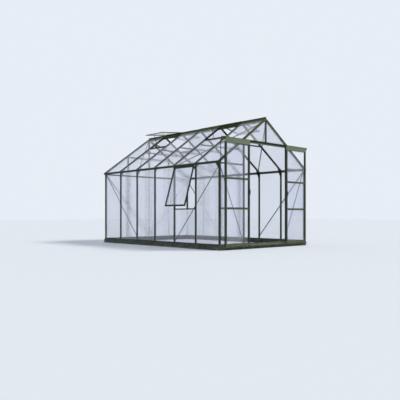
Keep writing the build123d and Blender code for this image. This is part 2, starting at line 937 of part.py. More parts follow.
def vent_plane(index):
    """The middle plane of the left slope's sash: along the ridge in X, up in Y."""
    fall = pitch - vent_openings[index]
    hinge_x = ridge_head_half + seat_gap + sash_half * sin(fall)
    hinge_z = ridge_height + ridge_head_rise - ridge_head_height / 2
    return Plane(
        origin=(-hinge_x, (index + 0.5) * bay, hinge_z),
        x_dir=(0, 1, 0),
        z_dir=(-sin(fall), 0, cos(fall)),
    )


vent_width = bay - 2 * vent_side_gap
vent_pane_lap = 8.0
with BuildPart() as roof_vent_frames:
    for index in vent_bays:
        with BuildSketch(vent_plane(index)):
            with Locations((0, vent_reach / 2)):
                Rectangle(vent_width, vent_reach)
                Rectangle(
                    vent_width - 2 * vent_rail, vent_reach - 2 * vent_rail, mode=Mode.SUBTRACT
                )
        extrude(amount=sash_half, both=True)
        with BuildSketch(vent_plane(index)):
            with Locations((0, vent_reach / 2)):
                Rectangle(
                    vent_width - 2 * (vent_rail - vent_pane_lap - pane_clear),
                    vent_reach - 2 * (vent_rail - vent_pane_lap - pane_clear),
                )
        extrude(amount=slot_width / 2, both=True, mode=Mode.SUBTRACT)
    mirror(about=Plane.YZ)
finish(roof_vent_frames.part, "roof_vent_frames")

with BuildPart() as roof_vent_panes:
    for index in vent_bays:
        with BuildSketch(vent_plane(index)):
            with Locations((0, vent_reach / 2)):
                Rectangle(
                    vent_width - 2 * (vent_rail - vent_pane_lap),
                    vent_reach - 2 * (vent_rail - vent_pane_lap),
                )
        extrude(amount=pane / 2, both=True)
    mirror(about=Plane.YZ)
finish(roof_vent_panes.part, "roof_vent_panes")

# The window's sash hangs under the gutter, swung out at the bottom. Its plane has
# X along the wall and Y down the sash, with the hinge edge at the origin.
window_half = window_depth / 2
swing = radians(window_opening)
window_hinge_out = bar_face + pane_clear + window_half
window_hinge_height = eave_height - gutter_drop - seat_gap - window_half * sin(swing)
window_middle = (window_bay + 0.5) * bay
window_plane = Plane(
    origin=(-half_width - window_hinge_out, window_middle, window_hinge_height),
    x_dir=(0, 1, 0),
    z_dir=(cos(swing), 0, -sin(swing)),
)
window_width = bay - 2 * window_side_gap
with BuildPart() as side_window_frame:
    with BuildSketch(window_plane):
        with Locations((0, -window_height / 2)):
            Rectangle(window_width, window_height)
            Rectangle(
                window_width - 2 * window_frame,
                window_height - 2 * window_frame,
                mode=Mode.SUBTRACT,
            )
    extrude(amount=window_half, both=True)
    with BuildSketch(window_plane):
        with Locations((0, -window_height / 2)):
            Rectangle(
                window_width - 2 * (window_frame - vent_pane_lap - pane_clear),
                window_height - 2 * (window_frame - vent_pane_lap - pane_clear),
            )
    extrude(amount=slot_width / 2, both=True, mode=Mode.SUBTRACT)
finish(side_window_frame.part, "side_window_frame")

with BuildPart() as side_window_pane:
    with BuildSketch(window_plane):
        with Locations((0, -window_height / 2)):
            Rectangle(
                window_width - 2 * (window_frame - vent_pane_lap),
                window_height - 2 * (window_frame - vent_pane_lap),
            )
    extrude(amount=pane / 2, both=True)
finish(side_window_pane.part, "side_window_pane")

# Stays hold the sashes open: a bar from each vent's sill up to its lowest rail,
# and a short level bar beside the window's front stile
def vent_stay_outline(index):
    """The stay's outline across the house, between the sill and the sash."""
    fall = pitch - vent_openings[index]
    hinge = vent_plane(index).origin
    foot_out = bar_face + seat_gap
    lower_rail = vent_reach - vent_rail / 2
    under = sash_half + seat_gap
    feet = []
    heads = []
    for side in (-0.5, 0.5):
        along = vent_sill_at - vent_stay_back + side * vent_stay_width
        feet.append((
            -half_width + along * along_x - foot_out * along_z,
            eave_height + along * along_z + foot_out * along_x,
        ))
        down = lower_rail - side * vent_stay_width
        heads.append((
            hinge.X - down * cos(fall) + under * sin(fall),
            hinge.Z - down * sin(fall) - under * cos(fall),
        ))
    return outline(feet[0], feet[1], heads[1], heads[0])


with BuildPart() as opening_stays:
    for index in vent_bays:
        with BuildSketch(section_at((index + 0.5) * bay - vent_stay_wall / 2)):
            add(vent_stay_outline(index))
        extrude(amount=-vent_stay_wall)
    mirror(about=Plane.YZ)
    stay_drop = window_hinge_height - window_stay_height
    stile_face = window_hinge_out + stay_drop * tan(swing) - window_half / cos(swing)
    stay_out = stile_face - window_stay_width / 2 * tan(swing) - seat_gap
    with BuildSketch(section_at(window_bay * bay + flange / 2)):
        with Locations((-half_width - stay_out / 2, window_stay_height)):
            Rectangle(stay_out, window_stay_width)
    extrude(amount=-window_stay_wall)
finish(opening_stays.part, "opening_stays")

# Door track on the header: a back plate, a lip that the rollers run on, a cover
# over them and an end plate at each end
track_back = post_out
track_bottom = header_bottom
track_top = track_bottom + track_height
lip_top = track_bottom + track_wall + track_lip_height
track_points = (
    (track_back, track_bottom),
    (track_lip_out, track_bottom),
    (track_lip_out, lip_top),
    (track_lip_out - track_wall, lip_top),
    (track_lip_out - track_wall, track_bottom + track_wall),
    (track_back + track_wall, track_bottom + track_wall),
    (track_back + track_wall, track_top - track_wall),
    (track_cover_out - track_wall, track_top - track_wall),
    (track_cover_out - track_wall, track_top - track_cover_lip),
    (track_cover_out, track_top - track_cover_lip),
    (track_cover_out, track_top),
    (track_back, track_top),
)
with BuildPart() as door_track:
    with BuildSketch(Plane.YZ.offset(-track_half)):
        add(outline(*[(-out, z) for out, z in track_points]))
    extrude(amount=2 * track_half)
    with BuildSketch(Plane.YZ.offset(track_half - track_wall)):
        with Locations((-(track_back + track_cover_out) / 2, track_bottom + track_height / 2)):
            Rectangle(track_cover_out - track_back, track_height)
    extrude(amount=track_wall)
    with BuildSketch(Plane.YZ.offset(-track_half)):
        with Locations((-(track_back + track_cover_out) / 2, track_bottom + track_height / 2)):
            Rectangle(track_cover_out - track_back, track_height)
    extrude(amount=track_wall)
finish(door_track.part, "door_track")

# The right leaf, then the left one as its mirror image. Stiles and rails have a
# slot along their inner edges for the panes, and a groove underneath takes the
# lip of the guide.
leaf_front = leaf_out + leaf_depth / 2
slot_side = slot_width / 2
stile_drawing_points = (
    (0, -leaf_depth / 2),
    (leaf_stile, -leaf_depth / 2),
    (leaf_stile, -slot_side),
    (leaf_stile - slot_depth, -slot_side),
    (leaf_stile - slot_depth, slot_side),
    (leaf_stile, slot_side),
    (leaf_stile, leaf_depth / 2),
    (leaf_edge_bevel, leaf_depth / 2),
    (0, leaf_depth / 2 - leaf_edge_bevel),
)
guide_groove_box = outline(
    (-guide_lip_out - guide_groove / 2, leaf_bottom),
    (-guide_lip_out + guide_groove / 2, leaf_bottom),
    (-guide_lip_out + guide_groove / 2, leaf_bottom + guide_groove_depth),
    (-guide_lip_out - guide_groove / 2, leaf_bottom + guide_groove_depth),
)


def cut_guide_groove():
    """Cut the groove for the guide's lip along the underside of the leaf."""
    with BuildSketch(Plane.YZ.offset(leaf_inner)) as cutter:
        add(guide_groove_box)
    extrude(cutter.sketch, amount=leaf_width, mode=Mode.SUBTRACT)


with BuildPart() as right_door_stiles:
    with BuildSketch(Plane.XY.offset(leaf_bottom)):
        add(outline(*[(leaf_inner + x, -leaf_out - y) for x, y in stile_drawing_points]))
        add(outline(*[(leaf_outer - x, -leaf_out - y) for x, y in stile_drawing_points]))
    extrude(amount=leaf_top - leaf_bottom)
    cut_guide_groove()
finish(right_door_stiles.part, "right_door_stiles")

# Rails of the leaf: where each one starts and ends, and where it has pane slots
leaf_mid = leaf_bottom + leaf_mid_rise
leaf_upper = leaf_bottom + leaf_upper_rise
leaf_rails = (
    (leaf_bottom, leaf_bottom + leaf_bottom_rail, False, True),
    (leaf_mid - leaf_rail / 2, leaf_mid + leaf_rail / 2, True, True),
    (leaf_upper - leaf_rail / 2, leaf_upper + leaf_rail / 2, True, True),
    (leaf_glass_top, leaf_top, True, False),
)
with BuildPart() as right_door_rails:
    with BuildSketch(Plane.YZ.offset(leaf_inner + leaf_stile)):
        for low, high, slot_below, slot_above in leaf_rails:
            with Locations((-leaf_out, (low + high) / 2)):
                Rectangle(leaf_depth, high - low)
            if slot_below:
                with Locations((-leaf_out, low + slot_depth / 2)):
                    Rectangle(slot_width, slot_depth, mode=Mode.SUBTRACT)
            if slot_above:
                with Locations((-leaf_out, high - slot_depth / 2)):
                    Rectangle(slot_width, slot_depth, mode=Mode.SUBTRACT)
    extrude(amount=leaf_width - 2 * leaf_stile)
    cut_guide_groove()
finish(right_door_rails.part, "right_door_rails")

leaf_pane_edge = leaf_stile - slot_depth + pane_clear
with BuildPart() as right_door_panes:
    with BuildSketch(section_at(-leaf_out)):
        for lower, upper in zip(leaf_rails[:-1], leaf_rails[1:]):
            low = lower[1] - slot_depth + pane_clear
            high = upper[0] + slot_depth - pane_clear
            with Locations(((leaf_inner + leaf_outer) / 2, (low + high) / 2)):
                Rectangle(leaf_width - 2 * leaf_pane_edge, high - low)
    extrude(amount=pane / 2, both=True)
finish(right_door_panes.part, "right_door_panes")

# The hanger is the band along the top of the leaf, with a pin for each roller
roller_middle = track_lip_out - track_wall / 2
roller_height = lip_top + roller_gap + roller_groove
roller_xs = (leaf_inner + roller_inset, leaf_outer - roller_inset)
pin_end = roller_middle - roller_width / 2
with BuildPart() as right_door_hanger:
    with BuildSketch(section_at(-leaf_front)):
        with Locations(((leaf_inner + leaf_outer) / 2, leaf_glass_top + hanger_height / 2)):
            Rectangle(leaf_width, hanger_height)
    extrude(amount=hanger_wall)
    with BuildSketch(section_at(-leaf_front)):
        with Locations(*[(x, roller_height) for x in roller_xs]):
            Circle(roller_pin)
    extrude(amount=-(leaf_front - pin_end))
finish(right_door_hanger.part, "right_door_hanger")

# A roller is turned: two rims with a groove between them
with BuildSketch() as roller_drawing:
    with BuildLine():
        Polyline(
            (roller_bore, -roller_width / 2),
            (roller_rim, -roller_width / 2),
            (roller_rim, -roller_groove_width / 2),
            (roller_groove, -roller_groove_width / 2),
            (roller_groove, roller_groove_width / 2),
            (roller_rim, roller_groove_width / 2),
            (roller_rim, roller_width / 2),
            (roller_bore, roller_width / 2),
            close=True,
        )
    make_face()

with BuildPart() as right_door_rollers:
    for x in roller_xs:
        roller_plane = Plane(origin=(x, -roller_middle, roller_height), x_dir=(1, 0, 0))
        with BuildSketch(roller_plane):
            add(roller_drawing.sketch)
        revolve(axis=Axis((x, -roller_middle, roller_height), (0, 1, 0)))
finish(right_door_rollers.part, "right_door_rollers")

# A bow handle on the front of the inner stile
handle_low = handle_height - handle_length / 2
handle_high = handle_height + handle_length / 2
handle_out = leaf_front + handle_reach
with BuildPart() as right_door_handle:
    handle_plane = Plane.YZ.offset(leaf_inner + (leaf_stile - handle_width) / 2)
    with BuildSketch(handle_plane) as handle_drawing:
        add(outline(
            (-leaf_front, handle_low),
            (-handle_out, handle_low + handle_reach / 2),
            (-handle_out, handle_high - handle_reach / 2),
            (-leaf_front, handle_high),
            (-leaf_front, handle_high - 2 * handle_wall),
            (-handle_out + handle_wall, handle_high - handle_reach / 2 - handle_wall),
            (-handle_out + handle_wall, handle_low + handle_reach / 2 + handle_wall),
            (-leaf_front, handle_low + 2 * handle_wall),
        ))
        fillet(handle_drawing.vertices().group_by(Axis.X)[0], handle_round)
    extrude(amount=handle_width)
finish(right_door_handle.part, "right_door_handle")

right_leaf = {
    "stiles": right_door_stiles,
    "rails": right_door_rails,
    "panes": right_door_panes,
    "hanger": right_door_hanger,
    "rollers": right_door_rollers,
    "handle": right_door_handle,
}
for piece_name, piece in right_leaf.items():
    with BuildPart() as left_piece:
        add(piece.part)
        mirror(about=Plane.YZ, mode=Mode.REPLACE)
    finish(left_piece.part, f"left_door_{piece_name}")
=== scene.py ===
# %% [markdown]
# # A greenhouse glazed with twin wall sheets
# A garden greenhouse is a light aluminium frame with sheets of polycarbonate held
# between its bars. The frame is exact work, so it comes as a fixed model, and this
# lesson adds what makes it look real: the fluted sheets, the seals, the fastenings
# and the finish of every surface.

# %% Load the frame
import json
from math import cos, degrees, pi, radians, sin

import bmesh
import bpy
from mathutils import Matrix, Vector

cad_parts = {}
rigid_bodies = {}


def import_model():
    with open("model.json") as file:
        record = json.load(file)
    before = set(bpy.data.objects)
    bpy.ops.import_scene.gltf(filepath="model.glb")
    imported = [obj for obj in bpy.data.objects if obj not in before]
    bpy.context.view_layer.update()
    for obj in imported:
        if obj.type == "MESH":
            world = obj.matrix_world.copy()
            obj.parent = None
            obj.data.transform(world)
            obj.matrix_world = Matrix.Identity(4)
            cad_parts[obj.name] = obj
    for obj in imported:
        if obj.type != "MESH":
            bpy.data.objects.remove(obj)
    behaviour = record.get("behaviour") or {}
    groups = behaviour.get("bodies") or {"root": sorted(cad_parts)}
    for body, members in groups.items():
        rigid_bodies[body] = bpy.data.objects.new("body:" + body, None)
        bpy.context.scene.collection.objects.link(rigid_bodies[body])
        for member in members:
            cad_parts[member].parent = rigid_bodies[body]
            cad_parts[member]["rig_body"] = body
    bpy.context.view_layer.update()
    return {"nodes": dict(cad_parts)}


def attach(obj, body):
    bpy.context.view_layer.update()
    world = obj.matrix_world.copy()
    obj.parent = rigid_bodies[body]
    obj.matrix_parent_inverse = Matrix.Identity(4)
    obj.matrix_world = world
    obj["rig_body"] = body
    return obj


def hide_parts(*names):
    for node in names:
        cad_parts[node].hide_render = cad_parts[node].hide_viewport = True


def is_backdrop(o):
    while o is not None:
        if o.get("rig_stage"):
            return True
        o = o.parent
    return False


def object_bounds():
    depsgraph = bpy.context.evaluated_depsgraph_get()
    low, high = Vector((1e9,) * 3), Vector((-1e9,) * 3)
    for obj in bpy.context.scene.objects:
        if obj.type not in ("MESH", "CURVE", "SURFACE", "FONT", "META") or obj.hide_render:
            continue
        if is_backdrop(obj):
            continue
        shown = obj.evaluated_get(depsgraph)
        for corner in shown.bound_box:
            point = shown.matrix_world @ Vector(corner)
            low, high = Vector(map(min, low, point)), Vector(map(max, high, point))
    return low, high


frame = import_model()
nodes = frame["nodes"]
scene = bpy.context.scene
print("nodes:", len(nodes))

# %% [markdown]
# ## The camera
# A photograph of a building is easy to match when its upright lines are parallel:
# the camera stood level, and the picture was shifted up to take in the roof. A long
# lens seen from a low, kneeling height gives the same view. Tilting the camera up
# would make the posts lean together, so the shift is the better way.

# %% Camera
image_side_px = 400
focal_length_px = 513.2
horizon_below_middle_px = 15.083
camera_place = Vector((-7.6048, -6.4584, 0.6257))
camera_heading = radians(42.400)
level = radians(90)
sight_range = 200

lens = bpy.data.cameras.new("camera")
lens.lens = focal_length_px / image_side_px * lens.sensor_width
lens.shift_y = horizon_below_middle_px / image_side_px
lens.clip_end = sight_range
camera = bpy.data.objects.new("camera", lens)
camera.location = camera_place
camera.rotation_euler = (level, 0, -camera_heading)
scene.collection.objects.link(camera)
scene.camera = camera
print("lens", round(lens.lens, 2), "mm, shift", round(lens.shift_y, 4))

# %% [markdown]
# ## Light
# Outdoors the light comes from the whole sky and from one bright side. A studio
# version of that is an even pale world and one very soft sun. The sun stands to the
# front right and high, so the door side is bright and the long wall is in its own
# shade. A sun lights the far floor as brightly as the near, which a lamp nearby
# wouldn't, and so the floor runs into the background with no edge.

# %% Sky and sun
sky_light = (0.86, 0.93, 1.0, 1)
sky_strength = 0.62
backdrop_colour = (0.80, 0.85, 0.92, 1)
sun_strength = 2.1
sun_softness = radians(18)
sun_tint = (1.0, 0.97, 0.92)
sun_from = Vector((0.62, -0.55, 0.95))

world = bpy.data.worlds.new("studio")
world.use_nodes = True
scene.world = world
studio = world.node_tree
sky = studio.nodes["Background"]
sky.inputs["Color"].default_value = sky_light
sky.inputs["Strength"].default_value = sky_strength
backdrop = studio.nodes.new("ShaderNodeBackground")
backdrop.inputs["Color"].default_value = backdrop_colour
rays = studio.nodes.new("ShaderNodeLightPath")
either = studio.nodes.new("ShaderNodeMath")
either.operation = "MAXIMUM"
choose = studio.nodes.new("ShaderNodeMixShader")
for output, socket in (
    (rays.outputs["Is Camera Ray"], either.inputs[0]),
    (rays.outputs["Is Transmission Ray"], either.inputs[1]),
    (either.outputs[0], choose.inputs["Fac"]),
    (sky.outputs[0], choose.inputs[1]),
    (backdrop.outputs[0], choose.inputs[2]),
    (choose.outputs[0], studio.nodes["World Output"].inputs["Surface"]),
):
    studio.links.new(output, socket)

sun_lamp = bpy.data.lights.new("sun", "SUN")
sun_lamp.energy = sun_strength
sun_lamp.angle = sun_softness
sun_lamp.color = sun_tint
sun = bpy.data.objects.new("sun", sun_lamp)
sun.rotation_euler = sun_from.to_track_quat("Z", "Y").to_euler()
scene.collection.objects.link(sun)
scene.view_settings.view_transform = "Standard"
sun_height = 90 - degrees(sun_from.angle(Vector((0, 0, 1))))
print("sun height", round(sun_height), "degrees")

# %% [markdown]
# ## Small helpers for node materials
# Every finish below starts from the same shader. Short helpers keep each recipe
# readable: they make a node or a material, lay a noise, spread it between two values
# or two tones, and turn it into grain. Patterns read the object's own coordinates,
# which here are metres in the frame. A noise seldom leaves the middle of its range,
# so it is spread from there.

# %% Node helpers
noise_low, noise_high = 0.3, 0.7


def add_node(tree, kind, inputs=None, **settings):
    """A new node of this kind, with named settings and input values."""
    made = tree.nodes.new("ShaderNode" + kind)
    for name, value in settings.items():
        setattr(made, name, value)
    for name, value in (inputs or {}).items():
        made.inputs[name].default_value = value
    return made


def new_material(name, **inputs):
    """A material with its Principled shader's own sockets set."""
    made = bpy.data.materials.new(name)
    made.use_nodes = True
    shader = made.node_tree.nodes["Principled BSDF"]
    for socket, value in inputs.items():
        shader.inputs[socket.replace("_", " ")].default_value = value
    return made, made.node_tree, shader


def pattern(tree, scale, detail, stretch=(1, 1, 1)):
    """Noise in metres of the frame, stretched along its axes."""
    coordinates = add_node(tree, "TexCoord")
    mapping = add_node(tree, "Mapping", {"Scale": stretch})
    noise = add_node(tree, "TexNoise", {"Scale": scale, "Detail": detail})
    tree.links.new(coordinates.outputs["Object"], mapping.inputs["Vector"])
    tree.links.new(mapping.outputs["Vector"], noise.inputs["Vector"])
    return noise.outputs["Fac"]


def between(tree, source, low, high, start=noise_low, end=noise_high):
    """A pattern spread between two values."""
    spread = add_node(tree, "MapRange", {
        "From Min": start, "From Max": end, "To Min": low, "To Max": high})
    tree.links.new(source, spread.inputs["Value"])
    return spread.outputs["Result"]


def tinted(tree, amount, under, over):
    """A colour between two, by an amount: each is a tone or comes from a node."""
    mix = add_node(tree, "Mix", data_type="RGBA")
    for socket, colour in (("A", under), ("B", over)):
        if isinstance(colour, tuple):
            mix.inputs[socket].default_value = (*colour, 1)
        else:
            tree.links.new(colour, mix.inputs[socket])
    tree.links.new(amount, mix.inputs["Factor"])
    return mix.outputs["Result"]


def grained(tree, shader, source, depth, strength):
    """Bump of a small real depth from a pattern."""
    bump = add_node(tree, "Bump", {"Distance": depth, "Strength": strength})
    tree.links.new(source, bump.inputs["Height"])
    tree.links.new(bump.outputs["Normal"], shader.inputs["Normal"])


print("node helpers ready")

# %% [markdown]
# ## Powder coat
# The bars are aluminium with a baked powder coat. Up close such a coat has a fine
# orange peel, and outdoors it fades a little in patches, collects dust on what faces
# up and gets splashed near the ground. A plain green would look like plastic, so the
# colour, the gloss and the surface each get a pattern of their own size. The posts and
# glazing bars are a deep green. The ridge, rafters, sills and rails get a lighter
# olive copy of it, which is painted sunlight, and the bands over the doors get a still
# lighter copy, which is painted sunlight too.

# %% Powder coats
coat_specular = 0.2
fade_scale = 2.2
gloss_scale = 9
gloss_low, gloss_high = 0.42, 0.58
peel_scale = 420
peel_depth = 0.0004
peel_strength = 0.35
dust_tone = (0.24, 0.25, 0.21)
dust_share = 0.08
dust_slope = 0.4
splash_share = 0.5
splash_height = 0.16
splash_scale = 28
splash_thin, splash_thick = 0.42, 0.62


def upright(tree, kind, output):
    """The Z of a vector that comes out of a node of this kind."""
    split = add_node(tree, "SeparateXYZ")
    tree.links.new(add_node(tree, kind).outputs[output], split.inputs["Vector"])
    return split.outputs["Z"]


def settled_dust(tree):
    """Dust on what faces up, up to its share."""
    lie = upright(tree, "NewGeometry", "Normal")
    return between(tree, lie, 0, dust_share, dust_slope, 1)


def splashes(tree):
    """Splashes below a height above the ground, broken up by noise."""
    height = upright(tree, "TexCoord", "Object")
    low = between(tree, height, splash_share, 0, 0, splash_height)
    noise = pattern(tree, splash_scale, detail=6)
    spots = between(tree, noise, 0, 1, splash_thin, splash_thick)
    both = add_node(tree, "Math", operation="MULTIPLY")
    tree.links.new(low, both.inputs[0])
    tree.links.new(spots, both.inputs[1])
    return both.outputs[0]


def powder_coat(name, dark, light):
    """Satin powder coat between two tones of one colour."""
    made, tree, shader = new_material(name, Specular_IOR_Level=coat_specular)
    fade = between(tree, pattern(tree, fade_scale, detail=5), 0, 1)
    colour = tinted(tree, fade, dark, light)
    colour = tinted(tree, settled_dust(tree), colour, dust_tone)
    colour = tinted(tree, splashes(tree), colour, dust_tone)
    tree.links.new(colour, shader.inputs["Base Color"])
    gloss = between(tree, pattern(tree, gloss_scale, detail=4), gloss_low, gloss_high)
    tree.links.new(gloss, shader.inputs["Roughness"])
    peel = pattern(tree, peel_scale, detail=2)
    grained(tree, shader, peel, peel_depth, peel_strength)
    return made


frame_green = powder_coat("frame_green", (0.021, 0.029, 0.015), (0.029, 0.039, 0.021))
# The next two coats are lighter copies of the deep green, with painted sunlight in their
# colour.
painted_sunlit_green = powder_coat("painted_sunlit_green", (0.058, 0.078, 0.030), (0.078, 0.102, 0.042))
painted_sunlit_band = powder_coat("painted_sunlit_band", (0.125, 0.160, 0.100), (0.155, 0.195, 0.125))
base_coat = powder_coat("base_coat", (0.036, 0.046, 0.038), (0.052, 0.064, 0.054))
coats = (frame_green, painted_sunlit_green, painted_sunlit_band, base_coat)
print("powder coats:", [coat.name for coat in coats])

# %% [markdown]
# ## Polycarbonate
# A twin wall sheet is two thin skins joined by upright webs. What stands right behind
# it shows through clearly, and the farther back a thing is, the more it melts away.
# Seeing through in full would lose that, and solid frosted glass would turn grey and
# keep the light out. So three shares are mixed: most light is passed on with a slight
# scatter, some goes straight through, and the rest is the milky plastic itself. The
# sheet is mostly air, so it bends light far less than solid plastic, and a thin coat
# gives its skins their gloss. Streaks run along the flutes: they are narrow along Y
# on the long sides and the roof, and narrow along X on the gables and doors. The roof
# and the doors are materials of their own: against the sky the bars and ties behind a
# roof sheet stay crisp, and so does the stud close behind a leaf.

# %% Twin wall sheets
streak_pitch = 55
streak_length = 0.7
streak_depth = 0.0006
streak_strength = 0.05
cloud_scale = 1.6
even_share = 0.5
milky_low, milky_high = 0.36, 0.64
sheet_grey = (0.84, 0.86, 0.94)
sheet_white = (0.94, 0.95, 0.98)
sheet_smooth, sheet_dull = 0.10, 0.20
skin_gloss = {"Coat_Weight": 0.2, "Coat_Roughness": 0.12, "Coat_IOR": 1.5}


def twin_wall(name, stretch, cover, bend, passed_on):
    """Milky sheet with streaks along its flutes, and its least and most cover."""
    made, tree, shader = new_material(
        name, IOR=bend, Transmission_Weight=passed_on, **skin_gloss)
    streaks = pattern(tree, scale=1, detail=3, stretch=stretch)
    clouds = pattern(tree, cloud_scale, detail=3)
    half = add_node(tree, "Math", {1: even_share}, operation="MULTIPLY")
    tree.links.new(clouds, half.inputs[0])
    mix = add_node(tree, "Math", {1: even_share}, operation="MULTIPLY_ADD")
    tree.links.new(streaks, mix.inputs[0])
    tree.links.new(half.outputs[0], mix.inputs[2])
    milky = mix.outputs[0]
    share = between(tree, milky, 0, 1, milky_low, milky_high)
    colour = tinted(tree, share, sheet_grey, sheet_white)
    tree.links.new(colour, shader.inputs["Base Color"])
    solid = between(tree, milky, *cover, milky_low, milky_high)
    tree.links.new(solid, shader.inputs["Alpha"])
    gloss = between(tree, streaks, sheet_smooth, sheet_dull)
    tree.links.new(gloss, shader.inputs["Roughness"])
    grained(tree, shader, streaks, streak_depth, streak_strength)
    return made


across_y = (streak_length, streak_pitch, streak_length)
across_x = (streak_pitch, streak_length, streak_length)
side_sheet = twin_wall(
    "side_sheet", across_y, cover=(0.60, 0.75), bend=1.03, passed_on=0.8)
gable_sheet = twin_wall(
    "gable_sheet", across_x, cover=(0.55, 0.70), bend=1.015, passed_on=0.85)
door_sheet = twin_wall(
    "door_sheet", across_x, cover=(0.52, 0.64), bend=1.004, passed_on=0.90)
roof_sheet = twin_wall(
    "roof_sheet", across_y, cover=(0.58, 0.71), bend=1.004, passed_on=0.75)
print("sheets:", side_sheet.name, gable_sheet.name, door_sheet.name, roof_sheet.name)

# %% [markdown]
# ## Small parts
# Seals are black rubber, the fastenings are zinc plated steel, the rollers are nylon,
# the handles are moulded plastic, and the lower ends of the roof sheets are closed with
# bare aluminium profile. Each is a simple shader with a fine pattern, because no
# surface of this size is perfectly even.

# %% Rubber, zinc, nylon, plastic and aluminium
tone_scale = 40
sheen_scale = 90
sheen_spread = 0.06
grain_depth = 0.0002
grain_strength = 0.3


def plain_finish(name, dark, light, rough, metal, grain):
    """A finish between two tones with roughness and grain of its own."""
    made, tree, shader = new_material(name, Metallic=metal)
    tone = between(tree, pattern(tree, tone_scale, detail=4), 0, 1)
    tree.links.new(tinted(tree, tone, dark, light), shader.inputs["Base Color"])
    sheen = pattern(tree, sheen_scale, detail=3)
    even = between(tree, sheen, rough - sheen_spread, rough + sheen_spread)
    tree.links.new(even, shader.inputs["Roughness"])
    fine = pattern(tree, grain, detail=2)
    grained(tree, shader, fine, grain_depth, grain_strength)
    return made


rubber = plain_finish(
    "rubber", (0.012, 0.012, 0.012), (0.022, 0.022, 0.021),
    rough=0.7, metal=0, grain=700)
zinc = plain_finish(
    "zinc", (0.42, 0.42, 0.41), (0.58, 0.58, 0.56),
    rough=0.34, metal=1, grain=500)
nylon = plain_finish(
    "nylon", (0.018, 0.018, 0.019), (0.034, 0.034, 0.034),
    rough=0.45, metal=0, grain=600)
moulded = plain_finish(
    "moulded", (0.020, 0.024, 0.020), (0.032, 0.038, 0.031),
    rough=0.5, metal=0, grain=500)
bare_metal = plain_finish(
    "bare_metal", (0.50, 0.51, 0.52), (0.66, 0.67, 0.68),
    rough=0.3, metal=1, grain=300)
small_finishes = (rubber, zinc, nylon, moulded, bare_metal)
print("small finishes:", [finish.name for finish in small_finishes])

# %% [markdown]
# ## Dress the frame
# The bars, posts and beams already have their true sections, so they keep their
# shape and only get a finish. What isn't listed has the deep green. A knife edge never
# catches the light as a real extrusion does: welding the doubled points and adding a
# narrow bevel rounds every arris by under a millimetre, and leaves the model as it is.

# %% Finish of the frame's own pieces
arris = 0.0008
arris_steps = 2
arris_angle = radians(40)
weld_distance = 0.00001
# The door hangers and the olive pieces get coats with painted sunlight in their colour.
finishes = (
    (painted_sunlit_band, ("left_door_hanger", "right_door_hanger")),
    (base_coat, ("side_base_rails", "gable_base_rails")),
    (painted_sunlit_green, (
        "gable_rafters", "ridge_beam", "roof_vent_frames", "gable_sills",
        "front_gable_rails", "door_track", "left_door_rails", "right_door_rails",
    )),
    (nylon, ("left_door_rollers", "right_door_rollers")),
    (moulded, ("left_door_handle", "right_door_handle")),
)
finish_of = {name: finish for finish, names in finishes for name in names}

for name, node in nodes.items():
    if not node.data.materials:
        node.data.materials.append(None)
    for slot in node.material_slots:
        slot.link = "OBJECT"
        slot.material = finish_of.get(name, frame_green)
    weld = node.modifiers.new("weld", "WELD")
    weld.merge_threshold = weld_distance
    bevel = node.modifiers.new("arris", "BEVEL")
    bevel.width = arris
    bevel.segments = arris_steps
    bevel.limit_method = "ANGLE"
    bevel.angle_limit = arris_angle
print("dressed", len(nodes), "nodes")

# %% [markdown]
# ## Helpers for shapes
# Nearly everything on a greenhouse is a length of a profile or a small turned part,
# so three shapes do most of the work: a prism, which pushes an outline along a line,
# a turned shape, which is rings round an axis, and later the fluted sheet. Each adds
# to a mesh in the making, so that a hundred bolts become one piece. A place is a
# matrix whose Z axis is the direction that the shape grows in.

# %% Shape helpers
smooth_angle = radians(35)


def place(origin, grows, across):
    """A matrix at origin with Z along grows and X as near across as it can be."""
    z = Vector(grows).normalized()
    x = (Vector(across) - Vector(across).dot(z) * z).normalized()
    made = Matrix((x, z.cross(x), z)).transposed().to_4x4()
    made.translation = Vector(origin)
    return made


def bridge(mesh, ring, after_ring):
    """Faces all round between two rings of as many corners."""
    for index in range(len(ring)):
        after = (index + 1) % len(ring)
        mesh.faces.new((ring[index], ring[after], after_ring[after], after_ring[index]))


def prism(mesh, at, outline, length):
    """A closed outline in X and Y of the place, pushed along its Z."""
    rings = []
    for z in (0, length):
        rings.append([mesh.verts.new(at @ Vector((x, y, z))) for x, y in outline])
    mesh.faces.new(rings[0][::-1])
    mesh.faces.new(rings[1])
    bridge(mesh, *rings)


def turned(mesh, at, rings, sides):
    """Rings of (radius, height) round Z of the place, closed at both ends."""
    turns = [2 * pi * side / sides for side in range(sides)]
    made = []
    for radius, height in rings:
        ring = [(radius * cos(turn), radius * sin(turn), height) for turn in turns]
        made.append([mesh.verts.new(at @ Vector(corner)) for corner in ring])
    mesh.faces.new(made[0][::-1])
    mesh.faces.new(made[-1])
    for lower, upper in zip(made[:-1], made[1:]):
        bridge(mesh, lower, upper)


def rectangle(x0, x1, y0, y1):
    """The outline of a rectangle."""
    return ((x0, y0), (x1, y0), (x1, y1), (x0, y1))


def make_piece(name, mesh, material, body, replaces=()):
    """Turn a mesh in the making into a piece that rides on a body."""
    data = bpy.data.meshes.new(name)
    bmesh.ops.recalc_face_normals(mesh, faces=mesh.faces)
    mesh.to_mesh(data)
    mesh.free()
    data.materials.append(material)
    data.shade_smooth()
    data.set_sharp_from_angle(angle=smooth_angle)
    made = bpy.data.objects.new(name, data)
    scene.collection.objects.link(made)
    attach(made, body)
    if replaces:
        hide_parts(*replaces)
    triangles = sum(len(face.vertices) - 2 for face in data.polygons)
    print(name, triangles, "triangles on", body)


print("shape helpers ready")

# %% [markdown]
# ## Reading a piece's solids
# Many trims follow the frame: a seal runs along each bar and a sheet fills each
# opening. Copying sizes by hand would let them drift apart, so the sizes are read
# from the frame. A node can hold several solids, and each is found by walking from
# corner to corner along its edges.

# %% Solids of a node
area_digits = 7


